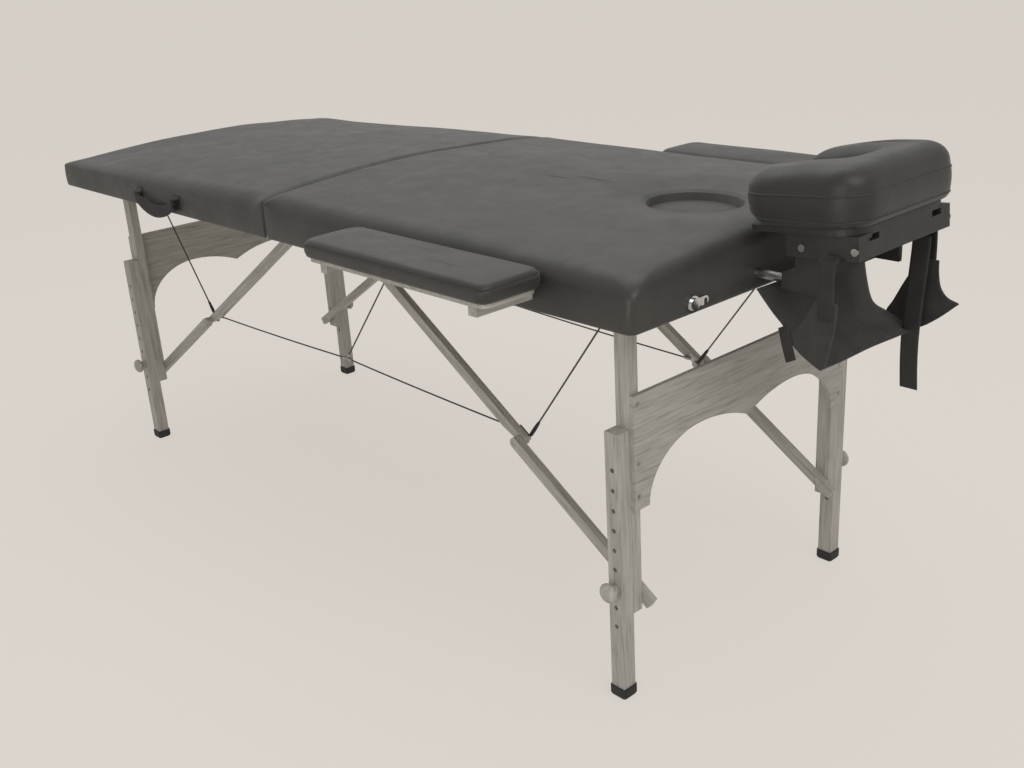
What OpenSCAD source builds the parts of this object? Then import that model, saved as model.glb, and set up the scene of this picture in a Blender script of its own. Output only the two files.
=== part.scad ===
// Folding massage table with height-adjusting wooden legs, armrests and a face cradle.
// X runs towards the head end, Y across the table, Z up. The floor is Z = 0.

/* [Table] */
// Length of the padded top, both halves together
table_length = 1860; // [1780:10:1940]
// Width of the padded top
table_width = 762; // [740:2:790]
// Height of the underside of the frame above the floor
frame_height = 675; // [660:1:690]

/* [Frame] */
// Thickness of the wooden frame rails
rail_thick = 20; // [17:0.5:22]
// Depth of the frame rails
rail_depth = 45; // [44:0.5:52]
// Thickness of the plywood deck
deck_thick = 5; // [4:0.5:8]
// Thickness of the vinyl cover where it wraps the rails
cover_thick = 3; // [2:0.25:4]
// Gap between the two halves when the table is open
half_gap = 0.8; // [0.6:0.1:1.6]

/* [Padding] */
// Height of the padding from the deck to the end of the rounded shoulder
pad_shoulder = 36; // [30:1:44]
// Width of the rounded shoulder
pad_round = 38; // [28:1:46]
// Rise of the crown above the shoulder
pad_crown = 9; // [4:1:14]
// Distance of the breath hole's middle from the head end
breath_inset = 200; // [185:5:230]
// Length of the breath hole along the table
breath_length = 172; // [154:2:180]
// Width of the breath hole
breath_width = 146; // [130:2:156]
// Space round the breath plug
plug_gap = 0.6; // [0.4:0.1:1]

/* [Legs] */
// Distance of the leg pivots from the table's end
leg_inset = 108; // [100:1:116]
// Distance of an upper leg's middle from the table's side
leg_side_inset = 104.5; // [102:0.5:108]
// Width of an upper leg along the table
leg_width = 28; // [26:0.5:28]
// Thickness of an upper leg across the table
leg_thick = 20; // [18:0.5:22]
// Height of an upper leg's lower end above the floor
leg_end = 155; // [145:1:160]
// Height of the leg pivot above the frame's underside
leg_pivot_rise = 23; // [22.75:0.25:23.5]
// Width of a sliding leg extension along the table
slide_width = 28; // [26:0.5:29]
// Thickness of a sliding leg extension across the table
slide_thick = 27; // [24:0.5:28]
// Height of an extension's upper end above the floor
slide_top = 480; // [470:2:500]
// Distance between two height holes
hole_pitch = 35; // [32:0.5:37]
// Number of height holes
hole_count = 9; // [7:1:9]
// Height of the lowest height hole above the floor
hole_first = 137; // [132:1:142]
// Diameter of a knob
knob_dia = 34; // [30:1:36]
// Height of a knob from the extension's face
knob_high = 26; // [22:1:28]
// Diameter of a knob's stud
stud_dia = 8; // [6:0.5:9]
// Height of a rubber foot
foot_high = 20; // [16:1:24]

/* [End panels] */
// Thickness of an arch panel
panel_thick = 8; // [6:0.5:8]
// Height of a panel's upper edge above the floor
panel_top = 536; // [526:1:546]
// Height of a panel's lower ends above the floor
panel_foot = 342; // [335:1:350]
// Height of the tops of the two arches above the floor
arch_top = 442; // [436:1:450]
// Drop from the arch tops to the pendant between them
pendant_drop = 28; // [20:1:34]
// Distance of an arch top from the middle of the panel
arch_side = 126; // [118:1:134]
// Width of a panel's lower end inside the leg
tail_width = 24; // [20:1:28]

/* [Struts] */
// Width of a strut bar
strut_width = 20; // [18:0.5:20]
// Thickness of a strut bar
strut_thick = 14; // [12:0.5:15]
// Height of the struts' lower pivots above the floor
strut_low = 185; // [182:1:187]
// Distance of the struts' upper pivots from the centre hinge
strut_reach = 35.5; // [35:0.5:38]
// Height of the struts' upper pivots above the frame's underside
strut_rise = 18; // [17.5:0.25:18.5]
// Length of a lower bar past its pivot
strut_tail = 34; // [26:1:38]
// Diameter of the steel cables
cable_dia = 3; // [2:0.25:4]

/* [Armrests] */
// Length of an armrest pad
arm_length = 450; // [430:5:470]
// Width of an armrest pad
arm_width = 118; // [108:1:126]
// Height of an armrest pad
arm_high = 33; // [28:1:38]
// Distance of the armrests' middle from the centre hinge
arm_at = 545; // [535:1:555]
// Side of a square armrest bar
arm_bar = 18; // [16:0.5:20]
// Thickness of an armrest board
arm_board_thick = 6; // [5:0.5:8]

/* [Face cradle] */
// Width of the face cushion
cushion_width = 266; // [256:2:280]
// Length of the face cushion
cushion_length = 192; // [184:2:200]
// Height of the face cushion
cushion_high = 85; // [76:1:92]
// Width of the padded arms of the cushion
cushion_arm = 84; // [78:1:88]
// Tilt of the face cushion, front end up
cradle_tilt = 4.5; // [0:0.5:8]
// Diameter of a cradle post
post_dia = 14; // [12:0.5:16]
// Distance between the two cradle posts
post_pitch = 200; // [190:2:206]

/* [Fittings] */
// Diameter of a case latch
latch_dia = 25; // [22:1:28]
// Distance of the latches from the table's middle line
latch_side = 253; // [240:1:262]
// Length of the carrying handle
handle_length = 172; // [160:2:190]
// Depth that the handle droops below its ends
handle_drop = 26; // [20:1:32]

/* [Hidden] */

$fn = 40;
// One overrun for every cut that passes right through
cut = 2;
// Space between wooden faces that slide or turn on each other
slip = 0.3;
// Space between strut bars, and between a bar and its leg
bar_gap = 1;
// Radial clearance of a bolt in the hole that it turns in
bore_play = 0.1;

// The halves
half_length = table_length / 2;
side_y = table_width / 2;
rail_x0 = half_gap / 2;
rail_x1 = half_length - cover_thick;
rail_y = side_y - cover_thick;
rail_inner_y = rail_y - rail_thick;
rail_corner = 11;
rail_top = frame_height + rail_depth;
deck_top = rail_top + deck_thick;
pad_corner = rail_corner + cover_thick;
pad_top_corner = 52;
pad_seam_corner = 16;
pad_seam_round = 14;
shoulder_rings = 6;
crown_rings = 5;
crown_reach = side_y * 0.72;

// The centre hinges
hinge_drop = 1;
hinge_z = frame_height - hinge_drop;
hinge_side = 200;
hinge_length = 60;
hinge_knuckles = 5;
hinge_barrel_r = 5;
hinge_pin_r = 2;
hinge_leaf_thick = 1.5;
hinge_leaf_high = 30;
hinge_relief = 0.6;

// The legs
leg_x = half_length - leg_inset;
leg_pivot_z = frame_height + leg_pivot_rise;
leg_y = side_y - leg_side_inset;
leg_outer_y = leg_y + leg_thick / 2;
leg_inner_y = leg_y - leg_thick / 2;
slide_inner_y = leg_outer_y + slip;
slide_outer_y = slide_inner_y + slide_thick;
slide_end = 8;
stud_z = hole_first + 2 * hole_pitch;
stud_hole_r = stud_dia / 2 + bore_play;
pivot_bolt_r = 4;
bolt_head_r = 7;
bolt_head_high = 4;
block_back = 24;
block_x0 = leg_x - block_back;
block_thick = 26;
block_low = 5;
foot_wall = 3;
foot_round = 5;
knob_neck_r = 9;
knob_neck_high = 6;
stud_short = 1.5;

// The struts, with their knees placed so that they lie flat when the legs fold
strut_top_z = frame_height + strut_rise;
strut_run = leg_x - strut_reach;
strut_fall = strut_top_z - strut_low;
strut_span = sqrt(strut_run * strut_run + strut_fall * strut_fall);
strut_angle = atan2(strut_fall, strut_run);
folded_run = strut_run - (leg_pivot_z - strut_low);
folded_rise = leg_pivot_z - strut_top_z;
folded_span = sqrt(folded_run * folded_run + folded_rise * folded_rise);
upper_length = (strut_span + folded_span) / 2;
lower_length = (strut_span - folded_span) / 2;
knee_x = strut_reach + upper_length * cos(strut_angle);
knee_z = strut_top_z - upper_length * sin(strut_angle);
lower_outer_y = leg_inner_y - bar_gap;
lower_inner_y = lower_outer_y - strut_thick;
upper_outer_y = lower_inner_y - bar_gap;
upper_inner_y = upper_outer_y - strut_thick;
strut_bolt_r = 3;
strut_head_r = 6.5;
strut_head_high = 4;
leg_bolt_depth = 15;
knee_taper = 6;
knee_taper_length = 46;
bracket_thick = 2;
bracket_reach = 12;
bracket_low = 12;
link_back = 23;
link_ahead = 5;
link_low = -3.5;
link_high = 11;
link_thick = 3;
anchor_back = 26;
anchor_x = leg_x - anchor_back;
cable_y = upper_inner_y - link_thick / 2;
crimp_r = cable_dia;
crimp_length = 15;
ring_drop = 9;

// The armrests
arm_off = 6;
arm_y0 = side_y + arm_off;
arm_rise = 43;
arm_pad_z = frame_height + arm_rise;
arm_board_z = arm_pad_z - arm_board_thick;
arm_bar_z = arm_board_z - arm_bar;
arm_bar_side = arm_length * 0.41;
arm_bar_through = 8;
arm_bar_end = rail_inner_y - arm_bar_through;
arm_bar_tip = 14;
arm_slot_play = 0.3;
arm_round = 13;
arm_corner = 16;
arm_board_margin = 6;

// The face cradle
post_rise = 25;
post_z = frame_height + post_rise;
post_inside = 82;
post_in_x = half_length - post_inside;
post_outside = 68;
post_out_x = half_length + post_outside;
post_bore_r = post_dia / 2 + bore_play;
socket_depth = 44;
socket_high = 34;
socket_beyond = 28;
socket_side = post_pitch / 2 + socket_beyond;
base_ahead = 52;
base_x0 = half_length + base_ahead;
base_thick = 22;
base_x1 = base_x0 + base_thick;
base_high = 24;
tilt_ahead = 92;
tilt_x = half_length + tilt_ahead;
tilt_rise = 82;
tilt_z = frame_height + tilt_rise;
ear_thick = 9;
ear_outer_y = 113;
ear_width = 40;
ear_round = 13;
cheek_gap = 0.6;
cheek_thick = 9;
cheek_inner_y = ear_outer_y + cheek_gap;
cheek_outer_y = cheek_inner_y + cheek_thick;
board_thick = 9;
cushion_rise = 30;
cushion_seat = 0.3;
cushion_back = -97;
cushion_front = cushion_back + cushion_length;
cheek_back = -28;
cheek_low = -14;
front_bar_thick = 11;
front_bar_set = 5;
slot_side = 84;
slot_long = 26;
slot_high = 9;
slot_drop = 11;
cradle_bolt_r = 3;
cradle_head_r = 5.5;
cradle_head_high = 3;

// The arm sling
sling_thick = 2.5;
sling_half = 138;
sling_path = [[-65, -70], [-37, -102], [-12, -133], [18, -152], [52, -165]];
gusset_path = [[33, -67], [63, -67], [74, -125], [105, -132], [52, -165], [18, -152], [-12, -133]];
strap_width = 25;
strap_thick = 2;
strap_x = 34;
strap_high = -2;
strap_hem = 10;
tail_x = 97;
tail_y = 84;
tail_high = -34;
tail_low = -277;
hem_z = -134;
hem_high = 3;

// The latches and the handle
latch_rise = 15;
latch_z = frame_height + latch_rise;
latch_plate = 3;
latch_cap = 7;
hook_thick = 2.5;
hook_reach = 27;
hook_width = 13;
latch_play = 0.3;
catch_r = 3;
catch_play = 0.6;
catch_high = 9;
latch_screw_r = 2.5;
latch_screw_depth = 14;
catch_z = hinge_z - (latch_z - hook_reach - hinge_z);
handle_x = -half_length * 0.465;
handle_rise = 27;
handle_z = frame_height + handle_rise;
handle_thick = 7;
handle_width = 24;
handle_off = 10;
mount_width = 26;
mount_high = 30;
mount_thick = 2.5;
handle_pin_r = 2.5;
handle_eye_r = 6;

// The part stands with the middle of its outline over the origin
sling_reach = max([for (p = gusset_path) p[0]]);
centre_x = (tilt_x + max(cushion_front, sling_reach) - half_length - catch_high) / 2;

wood = "burlywood";
steel = "silver";
vinyl = "dimgray";
black = "black";

module placed() {
  translate([-centre_x, 0, 0]) children();
}

module foot_end() {
  mirror([1, 0, 0]) children();
}

module both_sides() {
  children();
  mirror([0, 1, 0]) children();
}

module near_side() {
  mirror([0, 1, 0]) children();
}

// A cylinder along Y from one Y value to another
module rod_y(x, y0, y1, z, r) {
  translate([x, y0, z]) rotate([-90, 0, 0]) cylinder(h = y1 - y0, r = r);
}

// A cylinder along X from one X value to another
module rod_x(x0, x1, y, z, r) {
  translate([x0, y, z]) rotate([0, 90, 0]) cylinder(h = x1 - x0, r = r);
}

// A straight round rod between two points
module rod_between(a, b, r) {
  d = b - a;
  length = norm(d);
  turn = atan2(d[1], d[0]);
  lean = acos(d[2] / length);
  translate(a) rotate([0, lean, turn]) cylinder(h = length, r = r, $fn = 16);
}

// A plate with an XZ outline, from one Y value to another
module plate_xz(y0, y1) {
  translate([0, y1, 0]) rotate([90, 0, 0]) linear_extrude(y1 - y0) children();
}

// Points of a rectangle with rounded corners; the two corners at low X have their own radius
function corner_arc(cx, cy, r, a0, steps) =
  [for (i = [0:steps]) [cx + r * cos(a0 + 90 * i / steps), cy + r * sin(a0 + 90 * i / steps)]];

function rounded_outline(x0, x1, y0, y1, r0, r1, steps = 6) = concat(
  corner_arc(x1 - r1, y1 - r1, r1, 0, steps),
  corner_arc(x0 + r0, y1 - r0, r0, 90, steps),
  corner_arc(x0 + r0, y0 + r0, r0, 180, steps),
  corner_arc(x1 - r1, y0 + r1, r1, 270, steps)
);

// A closed form through rings of equal point counts, with flat ends
module ring_form(rings) {
  n = len(rings[0]);
  k = len(rings);
  points = [for (ring = rings) for (p = ring) p];
  sides = [for (j = [0:k - 2]) for (i = [0:n - 1])
    each [[j * n + i, (j + 1) * n + i, (j + 1) * n + (i + 1) % n], [j * n + i, (j + 1) * n + (i + 1) % n, j * n + (i + 1) % n]]];
  bottom = [[for (i = [0:n - 1]) i]];
  top = [[for (i = [n - 1:-1:0]) (k - 1) * n + i]];
  polyhedron(points = points, faces = concat(sides, bottom, top), convexity = 6);
}

function lift(outline, z) = [for (p = outline) [p[0], p[1], z]];

// A padded half: upright skirt, rounded shoulder, low crown
function pad_rings() = concat(
  [lift(rounded_outline(rail_x0, half_length, -side_y, side_y, pad_seam_corner, pad_corner), frame_height)],
  [for (i = [0:shoulder_rings])
    let (a = 90 * i / shoulder_rings)
    let (inset = pad_round * (1 - cos(a)))
    let (seam = pad_seam_round * (1 - cos(a)))
    let (corner = pad_corner + (pad_top_corner - pad_corner) * sin(a))
    lift(rounded_outline(rail_x0 + seam, half_length - inset, -side_y + inset, side_y - inset,
      pad_seam_corner, corner), deck_top + pad_shoulder * sin(a))],
  [for (i = [1:crown_rings])
    let (t = i / crown_rings)
    let (inset = pad_round + crown_reach * t)
    let (seam = pad_seam_round + crown_reach * t / 3)
    lift(rounded_outline(rail_x0 + seam, half_length - inset, -side_y + inset, side_y - inset,
      pad_seam_corner, pad_top_corner), deck_top + pad_shoulder + pad_crown * (1 - (1 - t) * (1 - t)))]
);

// A small pad with drawn-in sides, from its own corner at the origin
function small_pad_rings(length, width, high, r, corner) = concat(
  [for (i = [0:3])
    let (a = 30 * i)
    let (inset = r / 2 * (1 - sin(a)))
    lift(rounded_outline(inset, length - inset, inset, width - inset, corner, corner, 4), r / 2 * (1 - cos(a)))],
  [for (i = [0:5])
    let (a = 18 * i)
    let (inset = r * (1 - cos(a)))
    lift(rounded_outline(inset, length - inset, inset, width - inset, corner, corner, 4), high - r + r * 0.8 * sin(a))],
  [for (i = [1:3])
    let (inset = r + (width / 2 - r) * 0.8 * i / 3)
    lift(rounded_outline(inset, length - inset, inset, width - inset, corner * (1 - i / 6), corner * (1 - i / 6), 4),
      high - r * 0.2 * (1 - i / 3) * (1 - i / 3))]
);

function ellipse_points(a, b, steps = 48) = [for (i = [0:steps - 1]) [a * cos(360 * i / steps), b * sin(360 * i / steps)]];

module breath_outline(shrink) {
  translate([half_length - breath_inset, 0])
    polygon(ellipse_points(breath_length / 2 - shrink, breath_width / 2 - shrink));
}

// The frame of one half

module frame_outline() {
  polygon(rounded_outline(rail_x0, rail_x1, -rail_y, rail_y, cut, rail_corner));
}

module rail_piece(x0, x1, y0, y1) {
  translate([x0, y0, frame_height]) cube([x1 - x0, y1 - y0, rail_depth]);
}

module hinge_cuts() {
  both_sides() {
    rod_y(0, hinge_side - hinge_length / 2 - hinge_relief, hinge_side + hinge_length / 2 + hinge_relief,
      hinge_z, hinge_barrel_r + hinge_relief);
    translate([-cut, hinge_side - hinge_length / 2 - hinge_relief, hinge_z])
      cube([cut + rail_x0 + hinge_leaf_thick + hinge_relief, hinge_length + 2 * hinge_relief,
        hinge_leaf_high + hinge_relief]);
  }
}

module arm_slots() {
  for (s = [-1, 1])
    translate([arm_at + s * arm_bar_side - arm_bar / 2 - arm_slot_play, rail_inner_y - cut, arm_bar_z - arm_slot_play])
      cube([arm_bar + 2 * arm_slot_play, rail_thick + cover_thick + 2 * cut, arm_bar + 2 * arm_slot_play]);
}

module latch_bores() {
  both_sides() rod_x(rail_x1 - latch_screw_depth, half_length + cut, latch_side, latch_z, latch_screw_r + bore_play);
}

module catch_bores() {
  both_sides() rod_x(rail_x1 - latch_screw_depth, half_length + cut, latch_side, catch_z, catch_r);
}

module post_bores(x0, x1) {
  both_sides() rod_x(x0, x1, post_pitch / 2, post_z, post_bore_r);
}

module half_rails() {
  intersection() {
    union() {
      both_sides() rail_piece(rail_x0, rail_x1, rail_inner_y, rail_y);
      rail_piece(rail_x1 - rail_thick, rail_x1, -rail_inner_y, rail_inner_y);
      difference() {
        rail_piece(rail_x0, rail_x0 + rail_thick, -rail_inner_y, rail_inner_y);
        hinge_cuts();
      }
    }
    translate([0, 0, frame_height - cut]) linear_extrude(rail_depth + 2 * cut) frame_outline();
  }
}

module head_rails() color(wood) placed() {
  difference() {
    half_rails();
    both_sides() arm_slots();
    post_bores(rail_x1 - rail_thick - cut, rail_x1 + cut);
    latch_bores();
  }
}

module foot_rails() color(wood) placed() foot_end() difference() {
  half_rails();
  catch_bores();
}

module half_deck() {
  translate([0, 0, rail_top]) linear_extrude(deck_thick) frame_outline();
}

module head_deck() color(wood) placed() {
  difference() {
    half_deck();
    translate([0, 0, rail_top - cut]) linear_extrude(deck_thick + 2 * cut) breath_outline(0);
  }
}

module foot_deck() color(wood) placed() foot_end() half_deck();

module half_pad() {
  difference() {
    ring_form(pad_rings());
    translate([0, 0, frame_height - cut]) linear_extrude(rail_depth + deck_thick + cut)
      polygon(rounded_outline(-cut, rail_x1, -rail_y, rail_y, cut, rail_corner));
  }
}

module head_pad() color(vinyl) placed() {
  difference() {
    half_pad();
    translate([0, 0, deck_top - cut]) linear_extrude(pad_shoulder + pad_crown + 2 * cut) breath_outline(0);
    both_sides() arm_slots();
    post_bores(rail_x1 - cut, half_length + cut);
    latch_bores();
  }
}

module foot_pad() color(vinyl) placed() foot_end() difference() {
  half_pad();
  catch_bores();
}

module breath_plug() color(vinyl) placed() {
  a = breath_length / 2 - plug_gap;
  b = breath_width / 2 - plug_gap;
  base = rail_top;
  top = deck_top + pad_shoulder + pad_crown * 0.4;
  edge = 12;
  drop_shares = [[0, 1], [0.3, 0.96], [0.62, 0.8], [0.86, 0.52], [1, 0]];
  rings = concat(
    [[for (p = ellipse_points(a, b)) [p[0], p[1], base]]],
    [for (s = drop_shares) [for (p = ellipse_points(a - edge * (1 - s[1]), b - edge * (1 - s[1]))) [p[0], p[1], top - edge * (1 - s[0])]]],
    [[for (p = ellipse_points((a - edge) * 0.5, (b - edge) * 0.5)) [p[0], p[1], top + edge / 4]]]
  );
  translate([half_length - breath_inset, 0, 0]) ring_form(rings);
}

// Leg pivots and strut brackets of one half

module half_leg_blocks() {
  both_sides() difference() {
    translate([block_x0, leg_outer_y + slip, frame_height + block_low])
      cube([rail_x1 - rail_thick - block_x0, block_thick, rail_depth - block_low]);
    rod_y(leg_x, leg_outer_y - cut, leg_outer_y + block_thick + cut, leg_pivot_z, pivot_bolt_r);
  }
}

module head_leg_blocks() color(wood) placed() half_leg_blocks();

module foot_leg_blocks() color(wood) placed() foot_end() half_leg_blocks();

module pivot_bolt() {
  rod_y(leg_x, leg_inner_y - bolt_head_high, leg_outer_y + slip + block_thick, leg_pivot_z, pivot_bolt_r);
  rod_y(leg_x, leg_inner_y - slip - bolt_head_high, leg_inner_y - slip, leg_pivot_z, bolt_head_r);
  rod_y(leg_x, leg_outer_y + slip + block_thick, leg_outer_y + slip + block_thick + bolt_head_high, leg_pivot_z, bolt_head_r);
}

module strut_bracket() {
  y1 = upper_inner_y - slip;
  x0 = rail_x0 + rail_thick;
  z0 = strut_top_z - bracket_low;
  translate([x0, y1 - bracket_thick, z0])
    cube([strut_reach + bracket_reach - x0, bracket_thick, rail_top - z0]);
  translate([x0, y1 - 2 * bracket_reach, z0]) cube([bracket_thick, 2 * bracket_reach, rail_top - z0]);
  rod_y(strut_reach, y1 - cut, upper_outer_y, strut_top_z, strut_bolt_r);
}

module cable_anchor() {
  translate([anchor_x - bracket_reach / 2, cable_y - link_thick / 2, leg_pivot_z - bracket_low / 2])
    cube([bracket_reach, link_thick, rail_top - leg_pivot_z + bracket_low / 2]);
}

module half_hardware() {
  both_sides() {
    pivot_bolt();
    strut_bracket();
    cable_anchor();
  }
}

module head_pivot_hardware() color(steel) placed() half_hardware();

module foot_pivot_hardware() color(steel) placed() foot_end() half_hardware();

// Centre hinges: the head half holds the odd knuckles, the foot half the even ones

module hinge_leaf(first) {
  knuckle = hinge_length / hinge_knuckles;
  difference() {
    union() {
      translate([rail_x0, hinge_side - hinge_length / 2, hinge_z + hinge_barrel_r + hinge_relief])
        cube([hinge_leaf_thick, hinge_length, hinge_leaf_high - hinge_barrel_r - hinge_relief]);
      for (i = [first:2:hinge_knuckles - 1]) {
        y0 = hinge_side - hinge_length / 2 + i * knuckle + slip / 2;
        rod_y(0, y0, y0 + knuckle - slip, hinge_z, hinge_barrel_r);
        translate([rail_x0, y0, hinge_z]) cube([hinge_leaf_thick, knuckle - slip, hinge_leaf_high / 2]);
      }
    }
    rod_y(0, hinge_side - hinge_length, hinge_side + hinge_length, hinge_z, hinge_pin_r + bore_play);
  }
}

module head_hinge_leaves() color(steel) placed() both_sides() hinge_leaf(0);

module foot_hinge_leaves() color(steel) placed() foot_end() both_sides() hinge_leaf(1);

module hinge_pins() color(steel) placed() both_sides() {
  rod_y(0, hinge_side - hinge_length / 2, hinge_side + hinge_length / 2, hinge_z, hinge_pin_r);
}

module cradle_socket_block() color(wood) placed() difference() {
  translate([rail_x1 - rail_thick - socket_depth, -socket_side, rail_top - socket_high])
    cube([socket_depth, 2 * socket_side, socket_high]);
  post_bores(rail_x1 - rail_thick - socket_depth - cut, rail_x1);
}

// Leg frames

module upper_leg() {
  difference() {
    union() {
      translate([leg_x - leg_width / 2, leg_inner_y, leg_end]) cube([leg_width, leg_thick, leg_pivot_z - leg_end]);
      rod_y(leg_x, leg_inner_y, leg_outer_y, leg_pivot_z, leg_width / 2);
    }
    rod_y(leg_x, leg_inner_y - cut, leg_outer_y + cut, leg_pivot_z, pivot_bolt_r + bore_play);
    rod_y(leg_x, leg_inner_y - cut, leg_outer_y + cut, stud_z, stud_hole_r);
    rod_y(leg_x, leg_inner_y - cut, leg_inner_y + leg_bolt_depth, strut_low, strut_bolt_r);
  }
}

module head_legs() color(wood) placed() both_sides() upper_leg();

module foot_legs() color(wood) placed() foot_end() both_sides() upper_leg();

// Half of the panel's lower edge, from the pendant to the lower end by the leg
arch_outer = leg_inner_y - tail_width + leg_thick / 2;
dome_r = (arch_side * arch_side + pendant_drop * pendant_drop) / (2 * pendant_drop);
arch_steps = 12;

function dome_z(y) = arch_top - (dome_r - sqrt(dome_r * dome_r - (arch_side - y) * (arch_side - y)));

function half_edge() = concat(
  [for (i = [0:arch_steps]) let (y = arch_side * i / arch_steps)
    [y, max(dome_z(y), arch_top - pendant_drop + (1 - cos(min(90, 90 * y / arch_side * 5))) * pendant_drop / 14)]],
  [for (i = [1:arch_steps]) let (a = 90 * i / arch_steps)
    [arch_side + (arch_outer - arch_side) * sin(a), panel_foot + (arch_top - panel_foot) * cos(a)]],
  [[leg_outer_y, panel_foot], [leg_outer_y, panel_top]]
);

module arch_panel() {
  right = half_edge();
  left = [for (i = [len(right) - 1:-1:1]) [-right[i][0], right[i][1]]];
  translate([leg_x + leg_width / 2, 0, 0]) rotate([90, 0, 90]) linear_extrude(panel_thick) polygon(concat(right, left));
}

module head_arch_panel() color(wood) placed() arch_panel();

module foot_arch_panel() color(wood) placed() foot_end() arch_panel();

screw_r = 3.2;
screw_high = 1.4;
screw_shares = [0.08, 0.59, 0.88];

module leg_screws() {
  both_sides() {
    for (s = screw_shares)
      rod_x(leg_x + leg_width / 2 + panel_thick, leg_x + leg_width / 2 + panel_thick + screw_high, leg_y,
        panel_top - (panel_top - panel_foot) * s, screw_r);
    rod_y(leg_x, lower_inner_y + slip, leg_inner_y + leg_bolt_depth, strut_low, strut_bolt_r);
    rod_y(leg_x, lower_inner_y + slip, lower_inner_y + strut_head_high, strut_low, strut_head_r);
  }
}

module head_leg_screws() color(steel) placed() leg_screws();

module foot_leg_screws() color(steel) placed() foot_end() leg_screws();

// Sliding extensions, rubber feet and knobs

module extension() {
  difference() {
    translate([leg_x - slide_width / 2, slide_inner_y, slide_end]) cube([slide_width, slide_thick, slide_top - slide_end]);
    for (i = [0:hole_count - 1])
      rod_y(leg_x, slide_inner_y - cut, slide_outer_y + cut, hole_first + i * hole_pitch, stud_hole_r);
  }
}

module rubber_foot() {
  x0 = leg_x - slide_width / 2;
  difference() {
    ring_form([for (s = [[foot_round, 0], [foot_round * 0.35, foot_round * 0.3], [0, foot_round], [0, foot_high]])
      lift(rounded_outline(x0 - foot_wall + s[0], x0 + slide_width + foot_wall - s[0],
        slide_inner_y - foot_wall + s[0], slide_outer_y + foot_wall - s[0], foot_round, foot_round, 4), s[1])]);
    translate([x0, slide_inner_y, slide_end]) cube([slide_width, slide_thick, foot_high]);
  }
}

module knob() {
  rod_y(leg_x, leg_inner_y + stud_short, slide_outer_y + slip + knob_high / 2, stud_z, stud_dia / 2);
  translate([leg_x, slide_outer_y + slip, stud_z]) rotate([-90, 0, 0]) rotate_extrude()
    polygon(concat([[0, 0], [knob_neck_r, 0], [knob_neck_r, knob_neck_high]],
      [for (i = [0:10]) let (a = -50 + 140 * i / 10)
        [knob_dia / 2 * cos(a), (knob_high + knob_neck_high) / 2 + (knob_high - knob_neck_high) / 2 * sin(a)]]));
}

module head_near_extension() color(wood) placed() near_side() extension();
module head_far_extension() color(wood) placed() extension();
module foot_near_extension() color(wood) placed() foot_end() near_side() extension();
module foot_far_extension() color(wood) placed() foot_end() extension();

module head_near_foot() color(black) placed() near_side() rubber_foot();
module head_far_foot() color(black) placed() rubber_foot();
module foot_near_foot() color(black) placed() foot_end() near_side() rubber_foot();
module foot_far_foot() color(black) placed() foot_end() rubber_foot();

module head_near_knob() color(wood) placed() near_side() knob();
module head_far_knob() color(wood) placed() knob();
module foot_near_knob() color(wood) placed() foot_end() near_side() knob();
module foot_far_knob() color(wood) placed() foot_end() knob();

// Struts: a bar from one end to the other, drawn along X from its first pivot

module bar_outline(length, tail, taper) {
  difference() {
    union() {
      translate([-tail, -strut_width / 2]) square([length + tail, strut_width]);
      translate([length, 0]) circle(strut_width / 2);
      if (tail == 0) circle(strut_width / 2);
    }
    if (taper > 0) polygon([
      [length - knee_taper_length, -strut_width / 2],
      [length + strut_width, -strut_width / 2 + taper * (1 + strut_width / knee_taper_length)],
      [length + strut_width, -strut_width],
      [length - knee_taper_length, -strut_width],
    ]);
  }
}

module upper_strut() {
  difference() {
    translate([strut_reach, 0, strut_top_z]) rotate([0, strut_angle, 0])
      plate_xz(upper_inner_y, upper_outer_y) bar_outline(upper_length, 0, knee_taper);
    rod_y(strut_reach, upper_inner_y - cut, upper_outer_y + cut, strut_top_z, strut_bolt_r + bore_play);
    rod_y(knee_x, upper_inner_y - cut, upper_outer_y + cut, knee_z, strut_bolt_r);
  }
}

module lower_strut() {
  difference() {
    translate([leg_x, 0, strut_low]) rotate([0, 180 + strut_angle, 0])
      plate_xz(lower_inner_y, lower_outer_y) bar_outline(lower_length, strut_tail, 0);
    rod_y(leg_x, lower_inner_y - cut, lower_outer_y + cut, strut_low, strut_bolt_r + bore_play);
    rod_y(leg_x, lower_inner_y - cut, lower_inner_y + strut_head_high + slip, strut_low, strut_head_r + slip);
    rod_y(knee_x, lower_inner_y - cut, lower_outer_y + cut, knee_z, strut_bolt_r);
    rod_y(knee_x, lower_outer_y - strut_head_high, lower_outer_y + cut, knee_z, strut_head_r);
  }
}

// The knee bolt's first half and the link plate that the cables hook to
module knee_bolt() {
  rod_y(knee_x, upper_inner_y - link_thick - strut_head_high, upper_inner_y - link_thick, knee_z, strut_head_r);
  rod_y(knee_x, upper_inner_y - link_thick, upper_outer_y, knee_z, strut_bolt_r);
  translate([knee_x, 0, knee_z]) rotate([0, strut_angle, 0])
    translate([-link_back, upper_inner_y - link_thick, link_low])
      cube([link_back + link_ahead, link_thick, link_high - link_low]);
}

module knee_nut() {
  rod_y(knee_x, lower_inner_y, lower_outer_y, knee_z, strut_bolt_r);
  rod_y(knee_x, lower_outer_y - strut_head_high, lower_outer_y, knee_z, strut_head_r);
}

module head_upper_struts() color(wood) placed() both_sides() upper_strut();
module foot_upper_struts() color(wood) placed() foot_end() both_sides() upper_strut();
module head_lower_struts() color(wood) placed() both_sides() lower_strut();
module foot_lower_struts() color(wood) placed() foot_end() both_sides() lower_strut();
module head_knee_bolts() color(steel) placed() both_sides() knee_bolt();
module foot_knee_bolts() color(steel) placed() foot_end() both_sides() knee_bolt();
module head_knee_nuts() color(steel) placed() both_sides() knee_nut();
module foot_knee_nuts() color(steel) placed() foot_end() both_sides() knee_nut();

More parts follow.
